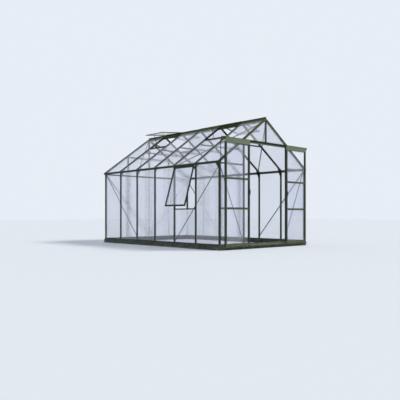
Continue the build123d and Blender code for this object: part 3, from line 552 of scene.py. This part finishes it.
def solids_of(node):
    """Each separate solid of a node: its corners and the normal of its largest face."""
    mesh = bmesh.new()
    mesh.from_mesh(nodes[node].data)
    bmesh.ops.remove_doubles(mesh, verts=mesh.verts, dist=weld_distance)
    found = []
    for start in mesh.verts:
        if start.tag:
            continue
        start.tag = True
        reached = [start]
        for corner in reached:
            for edge in corner.link_edges:
                other = edge.other_vert(corner)
                if not other.tag:
                    other.tag = True
                    reached.append(other)
        faces = {face.index: face for corner in reached for face in corner.link_faces}
        largest = max(faces.values(), key=lambda face: (
            round(face.calc_area(), area_digits), -face.index))
        found.append(([corner.co.copy() for corner in reached], largest.normal.copy()))
    mesh.free()
    return found


def span(corners, axis):
    """The lowest and highest place of some corners along an axis."""
    along = [corner.dot(axis) for corner in corners]
    return min(along), max(along)


right, back, up = Vector((1, 0, 0)), Vector((0, 1, 0)), Vector((0, 0, 1))
front = -back
print("left wall bars:", len(solids_of("left_wall_bars")))

# %% [markdown]
# ## Where things are
# Sheets, seals and fastenings sit at places that follow from how the house is set
# out: bars 620 mm apart, walls 1240 mm from the middle, and a roof that rises 880 mm.
# Two functions turn a place on a wall or a roof slope into a point, and two give the
# directions out of a slope and up it, so the lists below can give places as a maker
# would read them off a drawing. What is the same on both sides is drawn once, as an
# outline in X and Z, and mirrored.

# %% Setting out
bay = 0.62
bay_count = 6
vent_bays = (1, 4)
half_width = 1.24
house_length = 3.72
house_middle = Vector((0, house_length / 2, 1.2))
eave_height = 1.588
ridge_height = 2.468
slope = Vector((half_width, ridge_height - eave_height)).normalized()


def on_roof(side, y, along, out):
    """A point on the left (-1) or right (1) slope, so far up it and out of it."""
    x = half_width - along * slope.x + out * slope.y
    return Vector((side * x, y, eave_height + along * slope.y + out * slope.x))


def roof_out(side):
    """The direction out of a slope."""
    return Vector((side * slope.y, 0, slope.x))


def roof_up(side):
    """The direction up a slope."""
    return Vector((-side * slope.x, 0, slope.y))


def on_side(side, y, z, out):
    """A point on the left (-1) or right (1) wall."""
    return Vector((side * (half_width + out), y, z))


def pushed_back(mesh, side, start, outline, length):
    """An outline in X and Z, mirrored to a side and pushed back from a place in Y."""
    prism(mesh, place((0, start, 0), back, right),
          [(side * x, -z) for x, z in outline], length)


print("slope rises", round(slope.y / slope.x, 3), "per metre")

# %% [markdown]
# ## The twin wall sheets
# Each sheet is seated in the slots of the bars round it. On a real sheet the webs
# show as fine parallel lines, because the skins sink a little over each web as the
# plastic cools. A bump map would do that from afar but leave the outline of the mesh
# flat, so the lines are real grooves here: the sheet is a row of thin columns, and
# at each web both skins sink a third of a millimetre. Each column reaches from
# the lower to the upper edge of the outline, which makes the sloping gable sheets as
# easy as the square ones.

# %% Outline of a sheet
web_pitch = 0.0084
web_half = 0.0011
web_sink = 0.00035
corner_margin = 0.0004
place_digits = 6
least_turn = 1e-9


def convex(points):
    """The convex outline round some points, in order."""
    points = sorted(set(points))
    halves = []
    for row in (points, points[::-1]):
        half = []
        for x, y in row:
            while len(half) > 1:
                (x0, y0), (x1, y1) = half[-2:]
                if (x1 - x0) * (y - y0) - (y1 - y0) * (x - x0) > least_turn:
                    break
                half.pop()
            half.append((x, y))
        halves += half[:-1]
    return halves


def flat_outline(corners, across, along):
    """The outline of a flat solid's corners, seen straight on."""
    flat = [(corner.dot(across), corner.dot(along)) for corner in corners]
    return convex([(round(x, place_digits), round(y, place_digits)) for x, y in flat])


def edges_at(outline, x):
    """Where a vertical line at x enters and leaves an outline."""
    crossed = []
    for (x0, y0), (x1, y1) in zip(outline, outline[1:] + outline[:1]):
        if x0 != x1 and min(x0, x1) <= x <= max(x0, x1):
            crossed.append(y0 + (y1 - y0) * (x - x0) / (x1 - x0))
    return min(crossed), max(crossed)


print("webs in a bay:", int(bay / web_pitch))

# %% Fluted sheet
def column_places(outline):
    """Across a sheet: the place of each column and how far it is sunk."""
    low = min(x for x, y in outline) + corner_margin
    high = max(x for x, y in outline) - corner_margin
    columns = [(low, 0), (high, 0)]
    columns += [(x, 0) for x, y in outline if low < x < high]
    web = low + web_pitch
    while web < high - web_pitch / 2:
        columns += [(web - web_half, 0), (web, web_sink), (web + web_half, 0)]
        web += web_pitch
    return sorted(columns)


def fluted_sheet(mesh, corners, out, across):
    """A sheet in the place of a flat solid, with its webs running along it."""
    along = out.cross(across)
    outline = flat_outline(corners, across, along)
    inner, outer = span(corners, out)
    before = None
    for x, sink in column_places(outline):
        low, high = edges_at(outline, x)
        ring = [
            mesh.verts.new(across * x + along * y + out * z)
            for y, z in rectangle(low, high, outer - sink, inner + sink)
        ]
        if before:
            bridge(mesh, before, ring)
        else:
            mesh.faces.new(ring)
        before = ring
    mesh.faces.new(before)


sheet_nodes = {
    "left_wall_glazing": (back, side_sheet),
    "right_wall_glazing": (back, side_sheet),
    "left_roof_glazing": (back, roof_sheet),
    "right_roof_glazing": (back, roof_sheet),
    "front_gable_glazing": (right, gable_sheet),
    "rear_gable_glazing": (right, gable_sheet),
    "roof_vent_panes": (back, roof_sheet),
    "side_window_pane": (back, side_sheet),
    "left_door_panes": (right, door_sheet),
    "right_door_panes": (right, door_sheet),
}
for node, (across, material) in sheet_nodes.items():
    mesh = bmesh.new()
    for corners, out in solids_of(node):
        fluted_sheet(mesh, corners, out, across)
    name = node.replace("glazing", "sheets").replace("pane", "sheet")
    make_piece(name, mesh, material, nodes[node]["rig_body"], (node,))

# %% [markdown]
# ## Glazing seals
# Rainwater would creep between a sheet and its bar, so a rubber lip is rolled in all
# round each sheet, outside and inside. The lip is small, but it draws the thin black
# line that makes glazing look right. It follows the outline of the sheet, moved in
# by as much as the sheet sits in its slot, which differs between bars, rails and the
# sloping rafters.

# %% Offset of an outline
level_within = 0.0005
beside_post = 0.02


def inset(outline, distances):
    """A convex outline with each edge moved in by its own distance."""
    lines = []
    for index, (x0, y0) in enumerate(outline):
        x1, y1 = outline[(index + 1) % len(outline)]
        edge = Vector((x1 - x0, y1 - y0)).normalized()
        inward = Vector((-edge.y, edge.x))
        lines.append((Vector((x0, y0)) + inward * distances[index], edge))
    points = []
    for index, (start, edge) in enumerate(lines):
        before, edge_before = lines[index - 1]
        gap = start - before
        cross = edge_before.x * edge.y - edge_before.y * edge.x
        reach = (gap.x * edge.y - gap.y * edge.x) / cross
        points.append(before + edge_before * reach)
    return points


def edge_seats(outline, beside, ends, at_corner, slanted, wall_ends):
    """How deep each edge of a sheet sits, by its direction and place in the wall."""
    seats = []
    for index, (x0, y0) in enumerate(outline):
        x1, y1 = outline[(index + 1) % len(outline)]
        if abs(y1 - y0) < level_within:
            seats.append(ends)
        elif abs(x1 - x0) > level_within:
            seats.append(slanted)
        elif min(abs(x0 - end) for end in wall_ends) < beside_post:
            seats.append(at_corner)
        else:
            seats.append(beside)
    return seats


print("a square inset by 0.1:", inset([(0, 0), (1, 0), (1, 1), (0, 1)], [0.1] * 4)[0])

# %% Rubber lips
lip_width = 0.0028
lip_rise = 0.0019
lip_profile = ((0, 0), (0, 1), (0.55, 0.9), (1, 0.35), (1, 0))
wall_seat = (0.0115, 0.0095)
seats = {"door": (0.0095, 0.0095), "vent": (0.008, 0.008), "window": (0.008, 0.008)}
corner_seats_outside = (0.0075, 0.0075)
corner_seats_inside = (0.0215, 0.0175)
side_seats_inside = (0.0175, 0.0175)
length_ends = (0, house_length)
width_ends = (-half_width, half_width)


def lip_round(mesh, corners, out, across, seat, corner_seats):
    """One rubber lip round the skin of a sheet that faces out."""
    along = out.cross(across)
    outline = flat_outline(corners, across, along)
    depth = span(corners, out)[1]
    wall_ends = length_ends if across == back else width_ends
    held = edge_seats(outline, *seat, *corner_seats, wall_ends)
    rings = []
    for share, height in lip_profile:
        moved = inset(outline, [distance + share * lip_width for distance in held])
        rings.append([
            mesh.verts.new(across * x + along * y + out * (depth + height * lip_rise))
            for x, y in moved
        ])
    for ring, after_ring in zip(rings, rings[1:] + rings[:1]):
        bridge(mesh, ring, after_ring)


lips = {body: bmesh.new() for body in ("frame", "left_door", "right_door")}
for node, (across, material) in sheet_nodes.items():
    mesh = lips[nodes[node]["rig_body"]]
    seat = next((seats[kind] for kind in seats if kind in node), wall_seat)
    inside = side_seats_inside if "wall" in node else corner_seats_inside
    for corners, out in solids_of(node):
        middle = sum(corners, Vector()) / len(corners) - house_middle
        outward = out if out.dot(middle) > 0 else -out
        lip_round(mesh, corners, outward, across, seat, corner_seats_outside)
        lip_round(mesh, corners, -outward, across, seat, inside)
for body, mesh in lips.items():
    make_piece(body + "_glazing_seals", mesh, rubber, body)

# %% [markdown]
# ## Bolts
# The whole frame is put together with small hexagon bolts, washers and nuts in zinc
# plated steel. Each kind is drawn once, in units of its own size, and then set by
# lists of places. Real ones catch the light on their chamfers, so the head has one.

# %% Bolt and screw shapes
bolt_size = 0.003
face_sunk = 0.0004
bolt_turn = Vector((0.3, 0.5, 0.8))
washer = (20, ((2, 0), (2, 0.4), (1.8, 0.5)))
hexagon = (6, ((1.85, 0.45), (1.85, 1.55), (1.55, 1.85)))
thread_end = (12, ((1, 1.7), (1, 2.7), (0.75, 3.0)))
pan_head = (16, (
    (1, 0), (1, 0.2), (0.85, 0.5), (0.5, 0.65), (0.3, 0.62), (0.12, 0.25),
))


def fasten(mesh, at, out, size, *shapes):
    """Turned shapes on a face: a ring at height 0 is sunk into it by a hair."""
    seat = place(at, out, bolt_turn)
    for sides, rings in shapes:
        scaled = [
            (size * radius, size * height if height else -face_sunk)
            for radius, height in rings
        ]
        turned(mesh, seat, scaled, sides)


def bolt(mesh, at, out, size=bolt_size):
    """A washer and a hexagon head on a face, for a bolt of this radius."""
    fasten(mesh, at, out, size, washer, hexagon)


def nut(mesh, at, out, size=bolt_size):
    """A washer and a nut, with the thread's end standing out of it."""
    fasten(mesh, at, out, size, washer, hexagon, thread_end)


def screw(mesh, at, out, size):
    """A low pan head screw with a cross recess left as a small dish."""
    fasten(mesh, at, out, size, pan_head)


head_across = 2 * bolt_size * hexagon[1][0][0]
print("a bolt head is", round(head_across * 1000, 1), "mm across its corners")

# %% Bolts of plates and braces
bar_depth_middle = -0.003
half_stem = 0.009
plate_wall = 0.003
collar_bolt_along = 0.815
bracket_bolt_along = (0.050, 0.086)
post_bolt_height = 1.511
post_bolt_out = -0.0098
small_bolt = 0.0022
bolts = bmesh.new()
for index in range(1, bay_count):
    toward = 1 if index <= bay_count / 2 else -1
    plate_y = index * bay + toward * (half_stem + plate_wall)
    stem_y = index * bay - toward * half_stem
    for side in (-1, 1):
        for along in (*bracket_bolt_along, collar_bolt_along):
            bolt(bolts, on_roof(side, plate_y, along, bar_depth_middle), back * toward)
            nut(bolts, on_roof(side, stem_y, along, bar_depth_middle), front * toward)
        post_bolt = on_side(side, plate_y, post_bolt_height, post_bolt_out)
        bolt(bolts, post_bolt, back * toward, small_bolt)

brace_face = -0.0175
side_brace_places = ((0.022, 1.5199), (0.62, 0.8376), (1.240, 0.1303))
front_brace_places = ((1.214, 1.5108), (0.62, 0.1605))
rear_brace_places = ((1.214, 1.5198), (0.62, 0.8343), (0.0075, 0.1275))
roof_brace_places = ((1.240, 0.0306), (0.62, 0.7588), (0.026, 1.4564))
for side in (-1, 1):
    for y, z in side_brace_places:
        for place_y in (y, house_length - y):
            bolt(bolts, on_side(side, place_y, z, brace_face), right * -side)
    for x, z in front_brace_places:
        bolt(bolts, Vector((side * x, -brace_face, z)), back)
    for x, z in rear_brace_places:
        bolt(bolts, Vector((side * x, house_length + brace_face, z)), front)
    for y, along in roof_brace_places:
        for place_y in (y, house_length - y):
            bolt(bolts, on_roof(side, place_y, along, brace_face), -roof_out(side))
make_piece("frame_bolts", bolts, zinc, "frame")

# %% [markdown]
# ## Folded edges of the roof braces
# A wall brace is a flat strip pulled tight between its bolts. On the roof such a strip
# would sag under its own weight, so its lower edge is folded inwards. The fold is also
# what shows of it through the sheets, because a slope is seen nearly along its face.

# %% Folds of the roof braces
brace_half_width = 0.010
fold_wall = 0.0025
fold_reach = 0.0135
fold_short = 0.055
folds = bmesh.new()
for side in (-1, 1):
    inward = -roof_out(side)
    for mirrored in (False, True):
        start, end = [
            on_roof(side, house_length - y if mirrored else y, along, brace_face)
            for y, along in (roof_brace_places[0], roof_brace_places[-1])
        ]
        run = (end - start).normalized()
        across = run.cross(inward)
        downhill = across if across.z < 0 else -across
        seat = place(start + run * fold_short, run, downhill)
        depth_sign = 1 if seat.col[1].xyz.dot(inward) > 0 else -1
        outline = rectangle(brace_half_width - fold_wall, brace_half_width,
                            -face_sunk * depth_sign, fold_reach * depth_sign)
        prism(folds, seat, outline, (end - start).length - 2 * fold_short)
make_piece("roof_brace_folds", folds, frame_green, "frame")

# %% [markdown]
# ## Feet of the bars and corners of the base
# Each bar is bolted to the inner leg of the sill, and the base rails are joined at
# the corners by folded plates with two bolts a side. Inside and low down, these are
# hard to see, but a base without any joint would look cast in one piece.

# %% Sill bolts and base corner plates
sill_inner = -0.023
sill_bolt_height = 0.078
sill_bolt_size = 0.0026
pair_shifts = (-0.02, 0.02)
base_outer = 0.028
corner_plate = 0.002
corner_reach = 0.11
corner_low, corner_high = 0.006, 0.054
corner_bolt_steps = (0.035, 0.085)
corner_bolt_rises = (0.012, 0.036)
corner_bolt_size = 0.0028
corner_outline = (
    (-corner_plate, -corner_plate), (corner_reach, -corner_plate), (corner_reach, 0),
    (0, 0), (0, corner_reach), (-corner_plate, corner_reach),
)
foot_bolts = bmesh.new()
corner_plates = bmesh.new()
for index in range(1, bay_count):
    for side in (-1, 1):
        for shift in pair_shifts:
            foot = on_side(side, index * bay + shift, sill_bolt_height, sill_inner)
            bolt(foot_bolts, foot, right * -side, sill_bolt_size)
for y, inward, studs in (
    (-sill_inner, back, (-bay, bay)),
    (house_length + sill_inner, front, (-bay, 0, bay)),
):
    for x in studs:
        for shift in pair_shifts:
            foot = Vector((x + shift, y, sill_bolt_height))
            bolt(foot_bolts, foot, inward, sill_bolt_size)
for side in (-1, 1):
    for y, inward in ((0, 1), (house_length, -1)):
        corner = Vector((
            side * (half_width + base_outer), y - inward * base_outer, corner_low))
        angle = [(-side * a, inward * b) for a, b in corner_outline]
        prism(corner_plates, place(corner, up, right), angle, corner_high - corner_low)
        for step in corner_bolt_steps:
            for rise in corner_bolt_rises:
                for at, out in (
                    ((-side * step, -inward * corner_plate, rise), back * -inward),
                    ((side * corner_plate, inward * step, rise), right * side),
                ):
                    bolt(foot_bolts, corner + Vector(at), out, corner_bolt_size)
make_piece("foot_bolts", foot_bolts, zinc, "frame")
make_piece("base_corner_plates", corner_plates, base_coat, "frame")

# %% [markdown]
# ## Edges of the roof
# The lower ends of the roof sheets stand open over the gutter. Left so, insects and
# algae would get into the flutes, so each end has a thin aluminium channel pushed
# over it. Under the ridge cap a strip of foam closes the gap between the cap and
# the sheets.

# %% Channels on the sheets' lower ends
channel_gap = 0.0001
channel_wall = 0.0011
channel_reach = 0.012
channel_back = 0.0008
channel_short = 0.0122
sheet_half = 0.003
near = sheet_half + channel_gap
far = near + channel_wall
closed_end = -channel_back - channel_wall
channel_outline = (
    (closed_end, -far), (channel_reach, -far), (channel_reach, -near),
    (-channel_back, -near), (-channel_back, near), (channel_reach, near),
    (channel_reach, far), (closed_end, far),
)
channels = bmesh.new()
for node, side in (("left_roof_glazing", -1), ("right_roof_glazing", 1)):
    up_slope = roof_up(side)
    for corners, _ in solids_of(node):
        low = span(corners, up_slope)[0]
        start, end = span(corners, back)
        middle = sum(span(corners, roof_out(side))) / 2
        outline = [(a, -side * b) for a, b in channel_outline]
        origin = up_slope * low + roof_out(side) * middle
        origin += back * (start + channel_short)
        length = end - start - 2 * channel_short
        prism(channels, place(origin, back, up_slope), outline, length)
make_piece("sheet_end_channels", channels, bare_metal, "frame")

# %% Foam under the ridge cap
foam_low, foam_high = 1.4776, 1.4890
foam_bottom, foam_top = 0.0151, 0.0172
foam_slant = 0.0015
foam_gap = 0.0166
foam_end_gap = 0.0090
foam_outline = [
    on_roof(1, 0, along, out).xz for along, out in (
        (foam_low, foam_bottom), (foam_high, foam_bottom),
        (foam_high, foam_top), (foam_low + foam_slant, foam_top),
    )
]
foam = bmesh.new()
for side in (-1, 1):
    for index in range(bay_count):
        if index in vent_bays:
            continue
        start = index * bay + (foam_gap if index else foam_end_gap)
        end = (index + 1) * bay - (foam_gap if index < bay_count - 1 else foam_end_gap)
        pushed_back(foam, side, start, foam_outline, end - start)
make_piece("ridge_foam", foam, rubber, "frame")

# %% [markdown]
# ## Caps on the roof bars
# Wind pulls at a roof harder than at a wall, so each roof bar and rafter has a clip-on
# cap that presses the sheets down. It is a low bead with rounded shoulders, and seen
# from the ground it is most of what shows of a bar. It ends short of the ridge cap.

# %% Bar caps
cap_seat = 0.0169
cap_top = 0.0248
cap_half = 0.0125
cap_shoulder = 0.0030
cap_low, cap_high = -0.022, 1.470
rafter_shift = 0.0045
bar_cap = (
    (-cap_half, cap_seat), (cap_half, cap_seat), (cap_half, cap_top - cap_shoulder),
    (cap_half - cap_shoulder, cap_top), (-cap_half + cap_shoulder, cap_top),
    (-cap_half, cap_top - cap_shoulder),
)
caps = bmesh.new()
for side in (-1, 1):
    for index in range(bay_count + 1):
        outward = {0: -rafter_shift, bay_count: rafter_shift}.get(index, 0)
        origin = on_roof(side, index * bay + outward, cap_low, 0)
        outline = [(x, side * -y) for x, y in bar_cap]
        prism(caps, place(origin, roof_up(side), back), outline, cap_high - cap_low)
make_piece("roof_bar_caps", caps, frame_green, "frame")

# %% [markdown]
# ## Hinges of the vents and the window
# A roof vent has no separate hinges: its top edge is a hook that hangs over the
# bead along the ridge and turns on it. The side window hangs the same way from a
# small rod under the gutter. Both are drawn closed round what they hang from, as the
# sheets of the sashes would otherwise float beside the frame.

# %% Hooks over the ridge bead
ridge_bead = 0.048
bead_top = ridge_height + ridge_bead
hook_half = 0.305
hook_profile = (
    (0.0135, -0.0012), (0.0135, 0.0018), (0.0112, 0.0035), (0.0020, 0.0035),
    (0.0012, 0.0027), (0.0012, 0.0002), (0.0030, 0.0002), (0.0100, 0.0002),
)
hook_outline = [(x, bead_top + rise) for x, rise in hook_profile]
hooks = bmesh.new()
for side in (-1, 1):
    for index in vent_bays:
        start = (index + 0.5) * bay - hook_half
        pushed_back(hooks, side, start, hook_outline, 2 * hook_half)
make_piece("vent_hooks", hooks, frame_green, "frame")

# %% Rod and knuckles of the window
window_middle = 1.5 * bay
rod_length = 0.584
rod_out = 0.0212
rod_height = 1.5452
rod_radius = 0.0032
rod_end = 0.8
rod_sides = 16
knuckle_radius = 0.0052
knuckle_end = 0.9
knuckle_sides = 20
knuckle_length = 0.062
knuckle_places = (0.04, 0.261, 0.482)
end_chamfer = 0.0008


def barrel(mesh, start, radius, end_share, length, sides):
    """A round bar that runs back, with chamfered ends of a share of its radius."""
    end_radius = radius * end_share
    turned(mesh, place(start, back, up), (
        (end_radius, 0), (radius, end_chamfer),
        (radius, length - end_chamfer), (end_radius, length),
    ), sides)


rods = bmesh.new()
rod_start = on_side(-1, window_middle - rod_length / 2, rod_height, rod_out)
barrel(rods, rod_start, rod_radius, rod_end, rod_length, rod_sides)
for along in knuckle_places:
    start = rod_start + back * along
    barrel(rods, start, knuckle_radius, knuckle_end, knuckle_length, knuckle_sides)
make_piece("window_hinge", rods, zinc, "frame")

# %% [markdown]
# ## Stays
# Each vent rests on a flat bar between its sill and the lower rail of its sash, and
# the window on a short one beside it. The pegs and pivots are small bolts on both
# faces of the bar, at both its ends.

# %% Pegs and pivots
slope_length = 1.520526
sash_length = 0.562
vent_falls = {1: 13.9623, 4: 5.4623}
foot_below_sill = 0.006
foot_out = 0.0235
hinge_from_middle = 0.0118
hinge_over_ridge = 0.0435
head_before_end = 0.013
head_under_sash = 0.0135
vent_stay_half = 0.0025
window_stay_half = 0.002
window_stay_height = 1.310
window_stay_from_bar = 0.018
window_stay_bolts = (0.030, 0.095)
pegs = bmesh.new()
for side in (-1, 1):
    for index, degrees_down in vent_falls.items():
        y = (index + 0.5) * bay
        fall = radians(degrees_down)
        down = Vector((side * cos(fall), 0, -sin(fall)))
        under = Vector((-side * sin(fall), 0, -cos(fall)))
        foot = on_roof(side, y, slope_length - sash_length - foot_below_sill, foot_out)
        hinge = Vector((side * hinge_from_middle, y, ridge_height + hinge_over_ridge))
        head = hinge + down * (sash_length - head_before_end) + under * head_under_sash
        for spot in (foot, head):
            for across in (-1, 1):
                face = spot + back * across * vent_stay_half
                bolt(pegs, face, back * across, small_bolt)
for across in (-1, 1):
    for out in window_stay_bolts:
        y = bay + window_stay_from_bar + across * window_stay_half
        bolt(pegs, on_side(-1, y, window_stay_height, out), back * across, small_bolt)
make_piece("stay_pegs", pegs, zinc, "frame")

# %% [markdown]
# ## Fittings of the doors
# The leaves are screwed together at every rail, hung on two bolts each and pulled by
# a bow handle with a screw at each end. A pile strip on the meeting stile keeps the
# draught out, nylon glides in the bottom groove keep the leaf off its guide, and
# rubber stops at the ends of the track catch the rollers.

# %% Screws, bolts, pile strips and glides of a leaf
leaf_inner, leaf_outer = 0.535, 1.182
leaf_front, leaf_back = -0.0875, -0.0625
leaf_bottom, leaf_top = 0.060, 1.949
rail_middles = (0.0875, 0.745, 1.285)
rail_screw_inset = 0.026
rail_screw_shifts = (-0.008, 0.008)
leaf_screw = 0.0036
handle_screw_x = 0.555
handle_screw_heights = (1.001, 1.099)
hanger_front = -0.0905
hanger_screw_height = 1.934
hanger_screw_steps = (0.020, 0.215, 0.432, 0.627)
roller_height = 1.9983
roller_inset = 0.060
pile_front, pile_back = -0.0785, -0.0715
pile_proud = 0.0022
pile_rooted = 0.001
pile_short = 0.004
glide_bottom, glide_top = 0.0605, 0.0745
glide_length = 0.034
glide_inset = 0.002
glide_sides = ((-0.0820, -0.0772), (-0.0728, -0.0680))
pile_outline = rectangle(
    leaf_inner - pile_proud, leaf_inner + pile_rooted, pile_front, pile_back)
glides_at = (leaf_inner + glide_inset, leaf_outer - glide_inset - glide_length)

for body, side in (("left_door", -1), ("right_door", 1)):
    screws = bmesh.new()
    hanger_bolts = bmesh.new()
    pile = bmesh.new()
    glides = bmesh.new()
    for middle in rail_middles:
        for x in (leaf_inner + rail_screw_inset, leaf_outer - rail_screw_inset):
            for shift in rail_screw_shifts:
                for face, out in ((leaf_front, front), (leaf_back, back)):
                    spot = Vector((side * x, face, middle + shift))
                    screw(screws, spot, out, leaf_screw)
    for step in hanger_screw_steps:
        spot = Vector((side * (leaf_inner + step), hanger_front, hanger_screw_height))
        screw(screws, spot, front, leaf_screw)
    for height in handle_screw_heights:
        spot = Vector((side * handle_screw_x, leaf_back, height))
        screw(screws, spot, back, leaf_screw)
    for x in (leaf_inner + roller_inset, leaf_outer - roller_inset):
        spot = Vector((side * x, hanger_front, roller_height))
        bolt(hanger_bolts, spot, front, leaf_screw)
    prism(pile, place((0, 0, leaf_bottom + pile_short), up, right),
          [(side * x, y) for x, y in pile_outline],
          leaf_top - leaf_bottom - 2 * pile_short)
    for x in glides_at:
        start = min(side * x, side * (x + glide_length))
        for low, high in glide_sides:
            prism(glides, place((start, 0, 0), right, back),
                  rectangle(low, high, glide_bottom, glide_top), glide_length)
    make_piece(body + "_screws", screws, zinc, body)
    make_piece(body + "_hanger_bolts", hanger_bolts, zinc, body)
    make_piece(body + "_pile_strip", pile, rubber, body)
    make_piece(body + "_glides", glides, nylon, body)

# %% Track screws and stops
track_screw_count = 19
track_screw_pitch = 0.125
track_screw_face = -0.020
track_screw_height = 1.9965
track_screw_size = 0.0034
stop_place = (1.2221, -0.0560, 1.9985)
stop_rings = ((0.0075, 0), (0.0075, 0.012), (0.0055, 0.018), (0.003, 0.020))
stop_sides = 18
track_screws = bmesh.new()
for index in range(track_screw_count):
    x = (index - track_screw_count // 2) * track_screw_pitch
    spot = Vector((x, track_screw_face, track_screw_height))
    screw(track_screws, spot, front, track_screw_size)
track_stops = bmesh.new()
for side in (-1, 1):
    spot = (side * stop_place[0], *stop_place[1:])
    turned(track_stops, place(spot, right * -side, up), stop_rings, stop_sides)
make_piece("track_stops", track_stops, rubber, "frame")

# %% [markdown]
# ## Struts under the track's ends
# With both leaves open the whole weight of the doors hangs on the ends of the track,
# and these stand out past the rafters. So a narrow upright strut, bolted to the face
# of the corner post, runs up behind each leaf and is folded under the track.

# %% Struts and their bolts
strut_front = -0.0203
strut_wall = 0.003
strut_top = 1.9747
strut_outline = (
    (1.223, 1.532), (1.250, 1.532), (1.250, 1.560), (1.237, 1.564), (1.237, strut_top),
    (1.207, strut_top), (1.207, strut_top - 0.018), (1.223, strut_top - 0.030),
)
tab_inner, tab_outer = 1.207, 1.2245
tab_front, tab_overlap = -0.045, 0.0003
tab_outline = rectangle(tab_inner, tab_outer, tab_front, strut_front + tab_overlap)
post_bolt_at = (1.2435, strut_front, 1.546)
tab_bolt_at = (1.2160, -0.0340, strut_top - strut_wall)
struts = bmesh.new()
for side in (-1, 1):
    pushed_back(struts, side, strut_front, strut_outline, strut_wall)
    prism(struts, place((0, 0, strut_top - strut_wall), up, right),
          [(side * x, y) for x, y in tab_outline], strut_wall)
    for (x, y, z), out in ((post_bolt_at, front), (tab_bolt_at, -up)):
        bolt(track_screws, Vector((side * x, y, z)), out)
make_piece("track_end_struts", struts, frame_green, "frame")
make_piece("track_screws", track_screws, zinc, "frame")

# %% [markdown]
# ## Floor
# The floor is only there to take the shadow. It is one large pale plane, and it is
# declared as stage so that it doesn't count as part of the greenhouse.

# %% Floor
floor_half = 60
floor_thickness = 0.05
floor_tone = (0.74, 0.77, 0.81, 1)
floor_mesh = bmesh.new()
prism(floor_mesh, place((0, 0, -floor_thickness), up, right),
      rectangle(-floor_half, floor_half, -floor_half, floor_half), floor_thickness)
floor_data = bpy.data.meshes.new("floor")
floor_mesh.to_mesh(floor_data)
floor_mesh.free()
floor_paint, *_ = new_material(
    "floor_paint", Base_Color=floor_tone, Roughness=0.9, Specular_IOR_Level=0.1)
floor_data.materials.append(floor_paint)
floor = bpy.data.objects.new("floor", floor_data)
scene.collection.objects.link(floor)
floor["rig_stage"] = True
print("floor", 2 * floor_half, "m wide")

# %% Sizes
dressed_low, dressed_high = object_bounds()
for label, corner in (("from", dressed_low), ("to", dressed_high)):
    print("dressed box", label, [round(v, 3) for v in corner])
